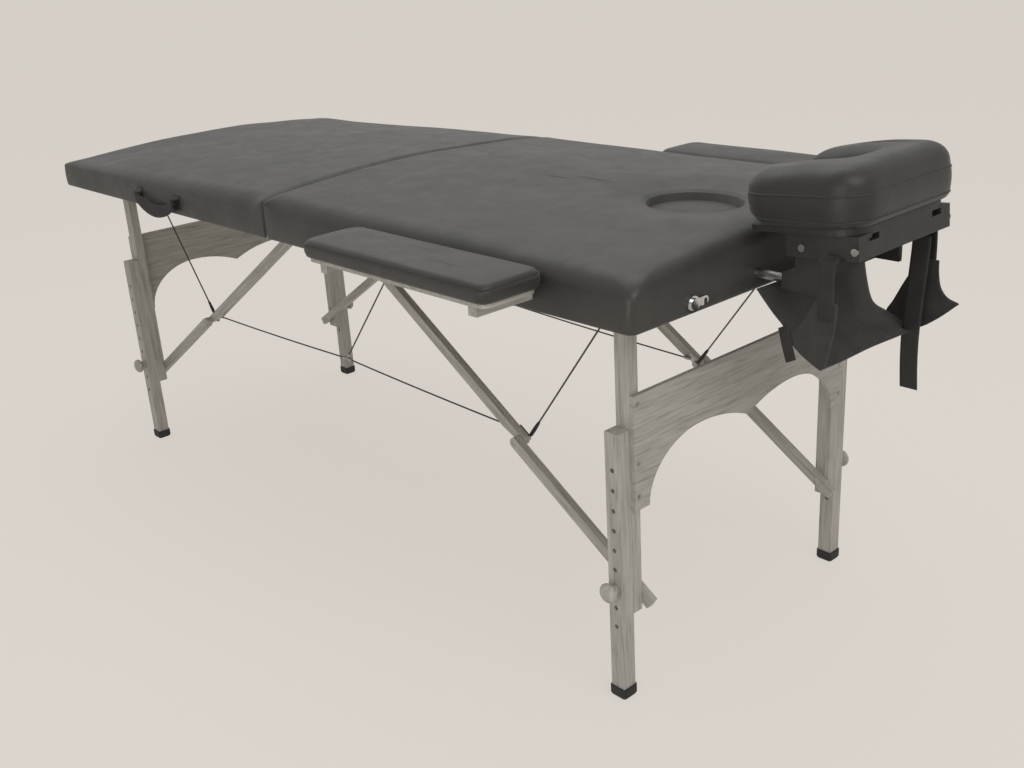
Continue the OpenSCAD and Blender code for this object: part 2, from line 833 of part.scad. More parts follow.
// Cables: from each knee to the frame's end, from knee to knee, and up to the centre

cable_clear = link_thick / 2 + cable_dia / 2 + slip;
cable_line_y = cable_y - cable_clear;
cable_lean = atan2(leg_pivot_z - knee_z, anchor_x - knee_x);
head_clear = strut_head_r + cable_dia / 2 + slip;
link_reach = link_back - link_thick;
knee_up = [knee_x + head_clear * cos(cable_lean), cable_line_y, knee_z + head_clear * sin(cable_lean)];
knee_in = [knee_x - link_reach * cos(strut_angle), cable_line_y, knee_z + link_reach * sin(strut_angle)];

module cable(a, b) {
  rod_between(a, b, cable_dia / 2);
  along = (b - a) / norm(b - a);
  rod_between(a + along * crimp_length, a + along * 2 * crimp_length, crimp_r);
  rod_between(b - along * 2 * crimp_length, b - along * crimp_length, crimp_r);
}

module end_cables() {
  both_sides() cable(knee_up, [anchor_x, cable_line_y, leg_pivot_z]);
}

module head_cables() color("dimgray") placed() end_cables();

module centre_cables() color("dimgray") placed() {
  both_sides() {
    cable([-knee_in[0], cable_line_y, knee_in[2]], knee_in);
    cable([0, cable_line_y, knee_in[2]], [0, 0, hinge_z - ring_drop]);
    rod_x(-crimp_length / 2, crimp_length / 2, cable_line_y, knee_in[2], crimp_r);
  }
  translate([0, 0, hinge_z - ring_drop]) sphere(crimp_r);
  translate([ring_drop, 0, hinge_z - ring_drop - cable_dia / 2]) cylinder(h = ring_drop + hinge_drop + cable_dia / 2, r = cable_dia / 2);
  rod_x(0, ring_drop, 0, hinge_z - ring_drop, cable_dia / 2);
}

module foot_cables() color("dimgray") placed() foot_end() end_cables();

// Armrests, drawn on the far side

module arm_pad() {
  translate([arm_at - arm_length / 2, arm_y0, arm_pad_z])
    ring_form(small_pad_rings(arm_length, arm_width, arm_high, arm_round, arm_corner));
}

module arm_board() {
  m = arm_board_margin;
  translate([0, 0, arm_board_z]) linear_extrude(arm_board_thick)
    polygon(rounded_outline(arm_at - arm_length / 2 + m, arm_at + arm_length / 2 - m, arm_y0 + m,
      arm_y0 + arm_width - m, arm_corner, arm_corner));
  for (s = [-1, 1])
    translate([arm_at + s * arm_bar_side - arm_bar / 2, arm_bar_end, arm_bar_z])
      cube([arm_bar, arm_y0 + arm_width - arm_bar_tip - arm_bar_end, arm_bar]);
}

module near_arm_pad() color(vinyl) placed() near_side() arm_pad();
module far_arm_pad() color(vinyl) placed() arm_pad();
module near_arm_board() color(wood) placed() near_side() arm_board();
module far_arm_board() color(wood) placed() arm_board();

// Latches on the head end, catches on the foot end

module latch() {
  x0 = half_length + latch_play;
  rod_x(x0, x0 + latch_plate, latch_side, latch_z, latch_dia / 2);
  rod_x(x0 + latch_plate, x0 + latch_cap, latch_side, latch_z, latch_dia / 2 * 0.72);
  difference() {
    translate([x0, latch_side, latch_z]) rotate([90, 0, 90]) linear_extrude(hook_thick) union() {
      translate([-hook_reach, -hook_width / 2]) square([hook_reach, hook_width]);
      translate([-hook_reach, 0]) circle(hook_width / 2);
    }
    rod_x(x0 - cut, x0 + latch_cap, latch_side - hook_reach, latch_z, catch_r + catch_play);
    translate([x0 - cut, latch_side - hook_reach - catch_r - catch_play, latch_z - hook_width])
      cube([latch_cap, 2 * (catch_r + catch_play), hook_width]);
  }
  rod_x(rail_x1 - latch_screw_depth, x0, latch_side, latch_z, latch_screw_r);
}

module near_latch() color(steel) placed() near_side() latch();
module far_latch() color(steel) placed() latch();

module latch_catches() color(steel) placed() foot_end() both_sides() {
  rod_x(rail_x1 - latch_screw_depth, half_length + catch_high, latch_side, catch_z, catch_r);
}

// Carrying handle on the near side of the foot half

module handle_mounts() color(steel) placed() {
  for (s = [-1, 1]) {
    x = handle_x + s * handle_length / 2;
    translate([x - mount_width / 2, -side_y - mount_thick, handle_z - mount_high / 2])
      cube([mount_width, mount_thick, mount_high]);
    translate([x - s * (handle_eye_r + slip) - handle_eye_r / 2, -side_y - handle_off - handle_thick / 2, handle_z - handle_pin_r * 2])
      cube([handle_eye_r, handle_off + handle_thick / 2 - mount_thick, handle_pin_r * 4]);
    rod_x(x - handle_eye_r - slip * 2, x + handle_eye_r + slip * 2, -side_y - handle_off - handle_thick / 2, handle_z, handle_pin_r);
  }
}

module carry_handle() color(black) placed() {
  arc_r = (handle_length * handle_length / 4 + handle_drop * handle_drop) / (2 * handle_drop);
  steps = 16;
  y1 = -side_y - handle_off;
  reach = asin(handle_length / 2 / arc_r);
  centre_z = handle_z - handle_drop + arc_r;
  difference() {
    plate_xz(y1 - handle_thick, y1) translate([handle_x, 0]) polygon(concat(
      [for (i = [0:steps]) let (a = -reach + 2 * reach * i / steps)
        [(arc_r + handle_width / 2) * sin(a), centre_z - (arc_r + handle_width / 2) * cos(a)]],
      [for (i = [0:steps]) let (a = reach - 2 * reach * i / steps)
        [(arc_r - handle_width / 2) * sin(a), centre_z - (arc_r - handle_width / 2) * cos(a)]]));
    for (s = [-1, 1])
      rod_x(handle_x + s * handle_length / 2 - handle_width, handle_x + s * handle_length / 2 + handle_width,
        y1 - handle_thick / 2, handle_z, handle_pin_r + bore_play);
    for (s = [-1, 1])
      translate([handle_x + s * (handle_length / 2 - handle_eye_r - slip) - handle_eye_r / 2 - slip, y1 - handle_thick - cut,
        handle_z - handle_width])
        cube([handle_eye_r + 2 * slip, handle_thick + 2 * cut, 2 * handle_width]);
  }
}

// Face cradle. Its tilting parts are drawn about the tilt pivot and then turned.

module tilted() {
  translate([tilt_x, 0, tilt_z]) rotate([0, -cradle_tilt, 0]) children();
}

module cradle_posts() color(steel) placed() both_sides() rod_x(post_in_x, post_out_x, post_pitch / 2, post_z, post_dia / 2);

module cradle_frame() color(black) placed() {
  difference() {
    translate([base_x0, -ear_outer_y, post_z - base_high / 2]) cube([base_x1 - base_x0, 2 * ear_outer_y, base_high]);
    both_sides() rod_x(base_x0 - cut, post_out_x, post_pitch / 2, post_z, post_dia / 2);
  }
  both_sides() difference() {
    union() {
      translate([base_x1, ear_outer_y - ear_thick, post_z - base_high / 2])
        cube([ear_width, ear_thick, tilt_z - post_z + base_high / 2 - ear_round]);
      rod_y(tilt_x, ear_outer_y - ear_thick, ear_outer_y, tilt_z, ear_round);
      translate([tilt_x - ear_round, ear_outer_y - ear_thick, tilt_z - ear_round * 2]) cube([ear_round * 2, ear_thick, ear_round * 2]);
    }
    rod_y(tilt_x, ear_outer_y - ear_thick - cut, ear_outer_y + cut, tilt_z, cradle_bolt_r + bore_play);
  }
}

module platform_outline(shrink) {
  difference() {
    polygon(rounded_outline(cushion_back + shrink, cushion_front - shrink, -cushion_width / 2 + shrink,
      cushion_width / 2 - shrink, cushion_arm / 4, cushion_arm / 2));
    polygon(rounded_outline(cushion_back - cushion_arm, cushion_front - cushion_arm + shrink,
      -cushion_width / 2 + cushion_arm - shrink, cushion_width / 2 - cushion_arm + shrink, cut, cushion_arm / 3));
  }
}

module cradle_platform() color(black) placed() tilted() {
  z1 = cushion_rise - board_thick;
  bar_x = cushion_front - front_bar_set - front_bar_thick;
  translate([0, 0, z1]) linear_extrude(board_thick) platform_outline(front_bar_set);
  both_sides() difference() {
    translate([cheek_back, cheek_inner_y, cheek_low]) cube([bar_x - cheek_back, cheek_thick, z1 - cheek_low]);
    rod_y(0, cheek_inner_y - cut, cheek_outer_y + cut, 0, cradle_bolt_r);
  }
  difference() {
    translate([bar_x, -cheek_outer_y, cheek_low]) cube([front_bar_thick, 2 * cheek_outer_y, z1 - cheek_low]);
    for (s = [-1, 1])
      translate([bar_x - cut, s * slot_side - slot_long / 2, z1 - slot_drop]) cube([front_bar_thick + 2 * cut, slot_long, slot_high]);
  }
}

module cradle_bolts() color(steel) placed() tilted() both_sides() {
  rod_y(0, ear_outer_y - ear_thick, cheek_outer_y, 0, cradle_bolt_r);
  rod_y(0, cheek_outer_y, cheek_outer_y + cradle_head_high, 0, cradle_head_r);
  rod_y(cushion_front - front_bar_set - front_bar_thick / 2, cheek_outer_y, cheek_outer_y + cradle_head_high, 0, cradle_head_r);
}

// The cushion is one padded bar bent round three sides
cushion_steps = 6;
section_steps = 20;
cushion_end_shares = [[0, 0.55], [0.036, 0.8], [0.14, 0.96], [0.36, 1]];

function cushion_path() =
  let (r = cushion_arm * 0.62)
  let (y1 = cushion_width / 2 - cushion_arm / 2)
  let (x1 = cushion_front - cushion_arm / 2)
  let (x0 = cushion_back)
  concat(
    [for (s = cushion_end_shares) [x0 + cushion_arm * s[0], -y1, 0, s[1]]],
    [for (i = [0:cushion_steps]) let (a = -90 + 90 * i / cushion_steps) [x1 - r + r * cos(a), -y1 + r + r * sin(a), a + 90, 1]],
    [for (i = [0:cushion_steps]) let (a = 90 * i / cushion_steps) [x1 - r + r * cos(a), y1 - r + r * sin(a), a + 90, 1]],
    [for (i = [len(cushion_end_shares) - 1:-1:0]) [x0 + cushion_arm * cushion_end_shares[i][0], y1, 180, cushion_end_shares[i][1]]]
  );

function power(v, e) = (v < 0 ? -1 : 1) * pow(abs(v), e);

module face_cushion() color(vinyl) placed() tilted() {
  ring_form([for (p = cushion_path())
    [for (i = [0:section_steps - 1])
      let (a = 360 * i / section_steps)
      let (side = cushion_arm / 2 * power(cos(a), 0.55) * p[3])
      let (up = cushion_high / 2 * power(sin(a), 0.5) * (p[3] + 1) / 2)
      [p[0] + side * sin(p[2]), p[1] - side * cos(p[2]), cushion_rise + cushion_seat + cushion_high / 2 + up]]]);
}

// A thin sheet along a path of XZ points
function offset_path(path, d) = [for (i = [0:len(path) - 1])
  let (a = path[max(0, i - 1)])
  let (b = path[min(len(path) - 1, i + 1)])
  let (t = (b - a) / norm(b - a))
  [path[i][0] - t[1] * d, path[i][1] + t[0] * d]];

function backwards(v) = [for (i = [len(v) - 1:-1:0]) v[i]];

module arm_sling() color(black) placed() translate([tilt_x, 0, tilt_z]) {
  plate_xz(-sling_half, sling_half) polygon(concat(sling_path, backwards(offset_path(sling_path, sling_thick))));
  both_sides() {
    plate_xz(sling_half, sling_half + sling_thick) polygon(gusset_path);
    translate([strap_x, sling_half, gusset_path[0][1]])
      cube([strap_width, strap_thick, strap_high - gusset_path[0][1]]);
    translate([strap_x, cheek_outer_y, strap_high - strap_hem])
      cube([strap_width, sling_half + strap_thick - cheek_outer_y, strap_hem]);
  }
  translate([tail_x, tail_y, tail_low]) cube([strap_thick, strap_width, tail_high - tail_low]);
  translate([tail_x, tail_y, hem_z]) cube([strap_thick, sling_half + sling_thick - tail_y, hem_high]);
}

head_rails();
head_deck();
head_pad();
head_leg_blocks();
head_pivot_hardware();
head_hinge_leaves();
cradle_socket_block();
head_cables();
hinge_pins();
centre_cables();
foot_rails();
foot_deck();
foot_pad();
foot_leg_blocks();
foot_pivot_hardware();
foot_hinge_leaves();
foot_cables();
latch_catches();
handle_mounts();
carry_handle();
head_legs();
head_arch_panel();
head_leg_screws();
foot_legs();
foot_arch_panel();
foot_leg_screws();
head_near_extension();
head_far_extension();
foot_near_extension();
foot_far_extension();
head_near_foot();
head_far_foot();
foot_near_foot();
foot_far_foot();
head_near_knob();
head_far_knob();
foot_near_knob();
foot_far_knob();
head_upper_struts();
head_knee_bolts();
head_lower_struts();
head_knee_nuts();
foot_upper_struts();
foot_knee_bolts();
foot_lower_struts();
foot_knee_nuts();
near_arm_pad();
near_arm_board();
far_arm_pad();
far_arm_board();
breath_plug();
near_latch();
far_latch();
cradle_posts();
cradle_frame();
cradle_bolts();
cradle_platform();
face_cushion();
arm_sling();
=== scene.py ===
import bpy
import bmesh
import math
from mathutils import Matrix, Vector, noise


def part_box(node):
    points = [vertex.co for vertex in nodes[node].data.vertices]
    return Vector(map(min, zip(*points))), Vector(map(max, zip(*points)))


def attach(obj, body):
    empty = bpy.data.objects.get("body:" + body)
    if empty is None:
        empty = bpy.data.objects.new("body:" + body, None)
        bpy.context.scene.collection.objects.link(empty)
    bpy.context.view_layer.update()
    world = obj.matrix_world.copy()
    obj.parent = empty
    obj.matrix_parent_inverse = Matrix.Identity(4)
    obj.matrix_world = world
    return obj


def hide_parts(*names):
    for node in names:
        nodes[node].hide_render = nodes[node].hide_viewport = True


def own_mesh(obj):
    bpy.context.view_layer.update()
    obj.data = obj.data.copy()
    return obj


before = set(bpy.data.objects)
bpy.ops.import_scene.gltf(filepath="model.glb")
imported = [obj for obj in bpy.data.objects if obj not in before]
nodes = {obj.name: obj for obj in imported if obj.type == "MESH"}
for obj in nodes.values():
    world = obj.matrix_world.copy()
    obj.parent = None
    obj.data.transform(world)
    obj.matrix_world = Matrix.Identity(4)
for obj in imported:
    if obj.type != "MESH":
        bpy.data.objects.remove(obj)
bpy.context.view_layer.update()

# the model's X runs from the middle of its outline; photo measurements run from the centre hinge
hingeLow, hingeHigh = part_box("hinge_pins")
hingeX = (hingeLow[0] + hingeHigh[0]) / 2


def fromHinge(x, y, z):
    return Vector((x + hingeX, y, z))


# camera
cameraLook = {
    "eye": (1.935, -1.490, 1.200),
    "yaw": -48.54,      # degrees, turned from +Y
    "pitch": 21.34,     # degrees down
    "roll": -3.58,
    "focal": 1165.4,    # pixels
    "photoWidth": 1024, "sensor": 36, "clipEnd": 100,
}


def makeCamera(look):
    yaw, pitch, roll = (math.radians(look[k]) for k in ("yaw", "pitch", "roll"))
    ahead = Vector((math.sin(yaw) * math.cos(pitch), math.cos(yaw) * math.cos(pitch), -math.sin(pitch)))
    right = Vector((math.cos(yaw), -math.sin(yaw), 0))
    up = right.cross(ahead)
    rolledRight = right * math.cos(roll) + up * math.sin(roll)
    rolledUp = up * math.cos(roll) - right * math.sin(roll)
    data = bpy.data.cameras.new("photoCamera")
    data.sensor_width = look["sensor"]
    data.lens = look["focal"] / look["photoWidth"] * look["sensor"]
    data.clip_end = look["clipEnd"]
    camera = bpy.data.objects.new("photoCamera", data)
    bpy.context.collection.objects.link(camera)
    turn = Matrix((rolledRight, rolledUp, -ahead)).transposed()
    camera.matrix_world = Matrix.Translation(fromHinge(*look["eye"])) @ turn.to_4x4()
    bpy.context.scene.camera = camera


makeCamera(cameraLook)
print("camera set")


# materials
def hexToLinear(text):
    parts = [int(text[i:i + 2], 16) / 255 for i in (1, 3, 5)]
    return [p / 12.92 if p <= 0.04045 else ((p + 0.055) / 1.055) ** 2.4 for p in parts] + [1]


def addNode(tree, kind, settings=None, links=None):
    node = tree.nodes.new(kind)
    for name, value in (settings or {}).items():
        if name in node.inputs and not hasattr(type(node), name):
            node.inputs[name].default_value = value
        else:
            setattr(node, name, value)
    for name, source in (links or {}).items():
        tree.links.new(source, node.inputs[name])
    return node


def emptyTree(owner):
    owner.use_nodes = True
    tree = owner.node_tree
    for node in list(tree.nodes):
        tree.nodes.remove(node)
    return tree


def startMaterial(name, shader):
    material = bpy.data.materials.new(name)
    tree = emptyTree(material)
    surface = addNode(tree, "ShaderNodeBsdfPrincipled", shader)
    output = addNode(tree, "ShaderNodeOutputMaterial")
    tree.links.new(surface.outputs[0], output.inputs["Surface"])
    place = addNode(tree, "ShaderNodeTexCoord")
    return material, tree, surface, place.outputs["Object"]


def ramp(tree, factor, stops):
    node = addNode(tree, "ShaderNodeValToRGB", links={"Fac": factor})
    elements = node.color_ramp.elements
    for i, (at, shade) in enumerate(stops):
        element = elements[i] if i < 2 else elements.new(at)
        element.position = at
        element.color = hexToLinear(shade) if isinstance(shade, str) else (shade, shade, shade, 1)
    return node.outputs["Color"]


def pattern(tree, kind, size, place, settings=None):
    # a procedural texture; size is its grain in millimetres
    return addNode(tree, "ShaderNodeTex" + kind, dict(settings or {}, Scale=1000 / size), {"Vector": place})


def multiplied(tree, base, shade, factor):
    mixed = addNode(tree, "ShaderNodeMix", {"data_type": "RGBA", "blend_type": "MULTIPLY"})
    mixed.inputs["Factor"].default_value = factor
    tree.links.new(base, mixed.inputs["A"])
    tree.links.new(shade, mixed.inputs["B"])
    return mixed.outputs["Result"]


def addBump(tree, surface, height, strength, distance=0.0004):
    bump = addNode(tree, "ShaderNodeBump", {"Strength": strength, "Distance": distance}, {"Height": height})
    tree.links.new(bump.outputs["Normal"], surface.inputs["Normal"])
    return bump


def makeUpholsteryVinyl(name, look):
    # PU vinyl, calendered with a fine leather grain: soft broad gloss on the rounds, tiny pebbles close up
    material, tree, surface, place = startMaterial(name, {
        "Roughness": look["roughness"], "IOR": 1.45, "Sheen Weight": look["sheen"], "Sheen Roughness": 0.5})
    pebbles = pattern(tree, "Voronoi", look["grain"], place, {"feature": "SMOOTH_F1", "Smoothness": 0.6})
    clouds = pattern(tree, "Noise", look["cloud"], place, {"Detail": 4.0, "Roughness": 0.55})
    creases = pattern(tree, "Noise", look["crease"], place, {
        "Detail": 5.0, "Roughness": 0.6, "Distortion": 0.8})
    specks = pattern(tree, "Noise", look["speck"], place, {"Detail": 2.0})
    tone = ramp(tree, clouds.outputs["Fac"], [(0.3, look["dark"]), (0.72, look["light"])])
    grit = ramp(tree, specks.outputs["Fac"], [(0.3, 0.82), (0.7, 1.0)])
    tree.links.new(multiplied(tree, tone, grit, 0.8), surface.inputs["Base Color"])
    limits = {"From Min": 0.3, "From Max": 0.7,
              "To Min": look["roughness"] - 0.06, "To Max": look["roughness"] + 0.08}
    rough = addNode(tree, "ShaderNodeMapRange", limits, {"Value": creases.outputs["Fac"]})
    tree.links.new(rough.outputs["Result"], surface.inputs["Roughness"])
    # the creases take the pebbles' place at the surface and build on them
    fine = addBump(tree, surface, pebbles.outputs["Distance"], look["bump"])
    soft = addBump(tree, surface, creases.outputs["Fac"], 0.25, 0.002)
    tree.links.new(fine.outputs["Normal"], soft.inputs["Normal"])
    return material


def makeSandedBeech(name, look):
    # beech with a clear satin lacquer, planed and sanded: fine streaks along the board, short darker flecks
    material, tree, surface, place = startMaterial(name, {
        "Roughness": look["roughness"], "IOR": 1.48, "Coat Weight": 0.15, "Coat Roughness": 0.35})
    turned = {"vector_type": "TEXTURE", "Scale": look["along"], "Rotation": (0, look.get("slope", 0), 0)}
    stretch = addNode(tree, "ShaderNodeMapping", turned, {"Vector": place}).outputs["Vector"]
    streaks = pattern(tree, "Noise", look["grain"], stretch, {
        "Detail": 6.0, "Roughness": 0.6, "Distortion": 0.4})
    bands = pattern(tree, "Wave", look["ring"], stretch, {
        "wave_type": "BANDS", "bands_direction": "DIAGONAL",
        "Distortion": 6.0, "Detail": 3.0, "Detail Scale": 1.2})
    flecks = pattern(tree, "Noise", look["fleck"], stretch, {"Detail": 1.0})
    tone = ramp(tree, streaks.outputs["Fac"], [
        (0.32, look["dark"]), (0.5, look["middle"]), (0.7, look["light"])])
    ring = ramp(tree, bands.outputs["Fac"], [(0.2, 0.9), (0.8, 1.0)])
    fleckTone = ramp(tree, flecks.outputs["Fac"], [(0.28, 0.72), (0.4, 1.0)])
    ringed = multiplied(tree, tone, ring, 0.7)
    tree.links.new(multiplied(tree, ringed, fleckTone, 0.6), surface.inputs["Base Color"])
    addBump(tree, surface, streaks.outputs["Fac"], 0.25)
    return material


def makeRolledMetal(name, look):
    # zinc-plated or polished steel: fine rolling lines and slightly uneven gloss
    material, tree, surface, place = startMaterial(name, {"Metallic": 1.0, "Roughness": look["roughness"]})
    stretch = addNode(tree, "ShaderNodeMapping", {"Scale": (0.15, 1, 1)}, {"Vector": place}).outputs["Vector"]
    lines = pattern(tree, "Noise", look["line"], stretch, {"Detail": 3.0})
    patches = pattern(tree, "Noise", look["patch"], place, {"Detail": 3.0})
    tone = ramp(tree, patches.outputs["Fac"], [(0.3, look["dark"]), (0.7, look["light"])])
    tree.links.new(tone, surface.inputs["Base Color"])
    limits = {"To Min": look["roughness"] * 0.8, "To Max": look["roughness"] * 1.25}
    rough = addNode(tree, "ShaderNodeMapRange", limits, {"Value": patches.outputs["Fac"]})
    tree.links.new(rough.outputs["Result"], surface.inputs["Roughness"])
    addBump(tree, surface, lines.outputs["Fac"], look["bump"], 0.0001)
    return material


def makeTwistedWire(name, look):
    # galvanised wire rope: the strands wind round it, drawn at 2 mm pitch so that they show
    material, tree, surface, place = startMaterial(name, {"Metallic": 1.0, "Roughness": 0.42})
    twist = pattern(tree, "Wave", look["strand"], place, {"Distortion": 1.5, "bands_direction": "DIAGONAL"})
    tone = ramp(tree, twist.outputs["Fac"], [(0.2, look["dark"]), (0.7, look["light"])])
    tree.links.new(tone, surface.inputs["Base Color"])
    addBump(tree, surface, twist.outputs["Fac"], 0.7)
    return material


def makeMouldedPlastic(name, look):
    # moulded nylon or rubber: even dull colour with a spark-eroded texture
    material, tree, surface, place = startMaterial(name, {"Roughness": look["roughness"], "IOR": look["ior"]})
    pits = pattern(tree, "Noise", look["pit"], place, {"Detail": 4.0, "Roughness": 0.7})
    dust = pattern(tree, "Noise", look["dust"], place, {"Detail": 5.0})
    tone = ramp(tree, dust.outputs["Fac"], [(0.35, look["dark"]), (0.75, look["light"])])
    tree.links.new(tone, surface.inputs["Base Color"])
    addBump(tree, surface, pits.outputs["Fac"], look["bump"])
    return material


def makeWovenNylon(name, look):
    # woven nylon: two crossed sets of threads, a dull sheen at grazing angles
    material, tree, surface, place = startMaterial(name, {
        "Roughness": 0.75, "IOR": 1.5, "Sheen Weight": look["sheen"], "Sheen Roughness": 0.4})
    size = look["thread"] * 3.14      # a wave texture repeats about three times within its size
    warp = pattern(tree, "Wave", size, place, {"Distortion": 0.5, "bands_direction": "Y"})
    weft = pattern(tree, "Wave", size, place, {"Distortion": 0.5, "bands_direction": "Z"})
    weave = addNode(tree, "ShaderNodeMath", {"operation": "MULTIPLY"})
    tree.links.new(warp.outputs["Fac"], weave.inputs[0])
    tree.links.new(weft.outputs["Fac"], weave.inputs[1])
    clouds = pattern(tree, "Noise", look["cloud"], place, {"Detail": 4.0})
    tone = ramp(tree, clouds.outputs["Fac"], [(0.3, look["dark"]), (0.75, look["light"])])
    threads = ramp(tree, weave.outputs["Value"], [(0.0, 0.65), (0.6, 1.0)])
    tree.links.new(multiplied(tree, tone, threads, 0.8), surface.inputs["Base Color"])
    addBump(tree, surface, weave.outputs["Value"], 0.5)
    return material


# grains, lines, threads and patches are in millimetres
vinylLook = {
    "dark": "#2b2a27", "light": "#383632", "roughness": 0.46, "sheen": 0.10, "bump": 0.35,
    "grain": 2.2,       # pebbles of about 1 mm drawn at 2.2 mm to show
    "cloud": 160, "crease": 55, "speck": 3,
}
darkVinylLook = dict(vinylLook, dark="#242321", light="#2f2e2b")
beechLook = {
    "dark": "#959188", "middle": "#a7a39a", "light": "#b3b0a7", "roughness": 0.45,
    "grain": 6, "ring": 22, "fleck": 3,
}
plyLook = dict(beechLook, dark="#8d8a82", middle="#a29f97", light="#aeaba3", ring=60)
steelLook = {"dark": "#8a8a88", "light": "#b5b5b2", "roughness": 0.35, "bump": 0.2, "line": 0.8, "patch": 12}
chromeLook = {"dark": "#c4c4c4", "light": "#dcdcdc", "roughness": 0.1, "bump": 0.05, "line": 1.5, "patch": 12}
ropeLook = {"dark": "#3c3b38", "light": "#6d6b66", "strand": 6}
rubberLook = {
    "dark": "#1b1b1a", "light": "#2a2a28", "roughness": 0.7, "ior": 1.52, "bump": 0.3,
    "pit": 1.2, "dust": 30,
}
nylonLook = {
    "dark": "#201f1e", "light": "#2b2a28", "roughness": 0.5, "ior": 1.53, "bump": 0.25,
    "pit": 1.6, "dust": 30,
}
clothLook = {"dark": "#272624", "light": "#403e3a", "sheen": 0.15, "thread": 1.6, "cloud": 45}
webbingLook = {"dark": "#232221", "light": "#302f2c", "sheen": 0.1, "thread": 2.2, "cloud": 45}

# how much longer than wide the wood's grain is, along X, Y or Z
grainX, grainY, grainZ = (16, 1, 1), (1, 16, 1), (1, 1, 16)
strutSlope = math.radians(32.86)

padVinyl = makeUpholsteryVinyl("embossedPadVinyl", vinylLook)
cushionVinyl = makeUpholsteryVinyl("embossedCushionVinyl", darkVinylLook)
beechUpright = makeSandedBeech("sandedBeechUpright", dict(beechLook, along=grainZ))
beechLengthways = makeSandedBeech("sandedBeechLengthways", dict(beechLook, along=grainX))
beechHeadStrut = makeSandedBeech("sandedBeechHeadStrut", dict(beechLook, along=grainX, slope=strutSlope))
beechFootStrut = makeSandedBeech("sandedBeechFootStrut", dict(beechLook, along=grainX, slope=-strutSlope))
beechAcross = makeSandedBeech("sandedBeechAcross", dict(beechLook, along=grainY))
birchPly = makeSandedBeech("birchPlywood", dict(plyLook, along=grainY))
zincSteel = makeRolledMetal("zincPlatedSteel", steelLook)
chromePlate = makeRolledMetal("polishedChrome", chromeLook)
wireRope = makeTwistedWire("galvanisedWireRope", ropeLook)
blackRubber = makeMouldedPlastic("mouldedRubber", rubberLook)
blackNylon = makeMouldedPlastic("mouldedNylon", nylonLook)
slingNylon = makeWovenNylon("wovenNylonCloth", clothLook)
strapNylon = makeWovenNylon("wovenNylonWebbing", webbingLook)
print("materials made")

nodeMaterials = {
    beechUpright: ["head_legs", "head_near_extension", "head_far_extension", "head_near_knob", "head_far_knob",
                   "foot_legs", "foot_near_extension", "foot_far_extension", "foot_near_knob", "foot_far_knob"],
    beechLengthways: ["head_rails", "foot_rails", "head_leg_blocks", "foot_leg_blocks"],
    beechHeadStrut: ["head_upper_struts", "head_lower_struts"],
    beechFootStrut: ["foot_upper_struts", "foot_lower_struts"],
    beechAcross: ["cradle_socket_block", "near_arm_board", "far_arm_board"],
    birchPly: ["head_deck", "foot_deck", "head_arch_panel", "foot_arch_panel"],
    zincSteel: ["head_pivot_hardware", "foot_pivot_hardware", "head_hinge_leaves", "foot_hinge_leaves",
                "hinge_pins", "head_leg_screws", "foot_leg_screws", "head_knee_bolts", "foot_knee_bolts",
                "head_knee_nuts", "foot_knee_nuts", "latch_catches", "cradle_posts", "cradle_bolts"],
    chromePlate: ["near_latch", "far_latch"],
    blackRubber: ["head_near_foot", "head_far_foot", "foot_near_foot", "foot_far_foot"],
    blackNylon: ["cradle_frame", "cradle_platform", "handle_mounts"],
}
for material, names in nodeMaterials.items():
    for name in names:
        for slot in nodes[name].material_slots:
            slot.material = material


# mesh helpers
def meshObject(name, points, faces, material, smooth=True):
    mesh = bpy.data.meshes.new(name)
    mesh.from_pydata([tuple(p) for p in points], [], faces)
    mesh.validate()
    made = bmesh.new()
    made.from_mesh(mesh)
    bmesh.ops.recalc_face_normals(made, faces=made.faces)
    made.to_mesh(mesh)
    made.free()
    for polygon in mesh.polygons:
        polygon.use_smooth = smooth
    mesh.materials.append(material)
    piece = bpy.data.objects.new(name, mesh)
    bpy.context.collection.objects.link(piece)
    return piece


def roundedLoop(x0, x1, y0, y1, lowRadius, highRadius, arcSteps, sideSteps):
    # a rectangle's outline with round corners; lowRadius belongs to the end at x0
    loop = []
    corners = [(x1, y1, highRadius, 0), (x0, y1, lowRadius, 90),
               (x0, y0, lowRadius, 180), (x1, y0, highRadius, 270)]
    for i, (cx, cy, r, start) in enumerate(corners):
        mx = cx - r if i in (0, 3) else cx + r
        my = cy - r if i in (0, 1) else cy + r
        for k in range(arcSteps + 1):
            a = math.radians(start + 90 * k / arcSteps)
            loop.append((mx + r * math.cos(a), my + r * math.sin(a)))
        nx, ny, nr, nstart = corners[(i + 1) % 4]
        nmx = nx - nr if (i + 1) % 4 in (0, 3) else nx + nr
        nmy = ny - nr if (i + 1) % 4 in (0, 1) else ny + nr
        a = math.radians(nstart)
        tx, ty = nmx + nr * math.cos(a), nmy + nr * math.sin(a)
        sx, sy = loop[-1]
        for k in range(1, sideSteps):
            t = k / sideSteps
            loop.append((sx + (tx - sx) * t, sy + (ty - sy) * t))
    return loop


def quarter(steps, first=0):
    # the angles of a quarter turn
    return [math.pi / 2 * k / steps for k in range(first, steps + 1)]


def ringFaces(count, rings, capLow=True):
    faces = []
    for j in range(rings - 1):
        for i in range(count):
            k = (i + 1) % count
            faces.append((j * count + i, j * count + k, (j + 1) * count + k, (j + 1) * count + i))
    if capLow:
        faces.append(tuple(range(count - 1, -1, -1)))
    faces.append(tuple((rings - 1) * count + i for i in range(count)))
    return faces


def applyModifier(piece, name):
    bpy.context.view_layer.objects.active = piece
    bpy.ops.object.modifier_apply(modifier=name)


def cutWith(piece, cutter):
    change = piece.modifiers.new("cut", "BOOLEAN")
    change.operation = "DIFFERENCE"
    change.solver = "EXACT"
    change.object = cutter
    applyModifier(piece, "cut")
    bpy.data.objects.remove(cutter, do_unlink=True)


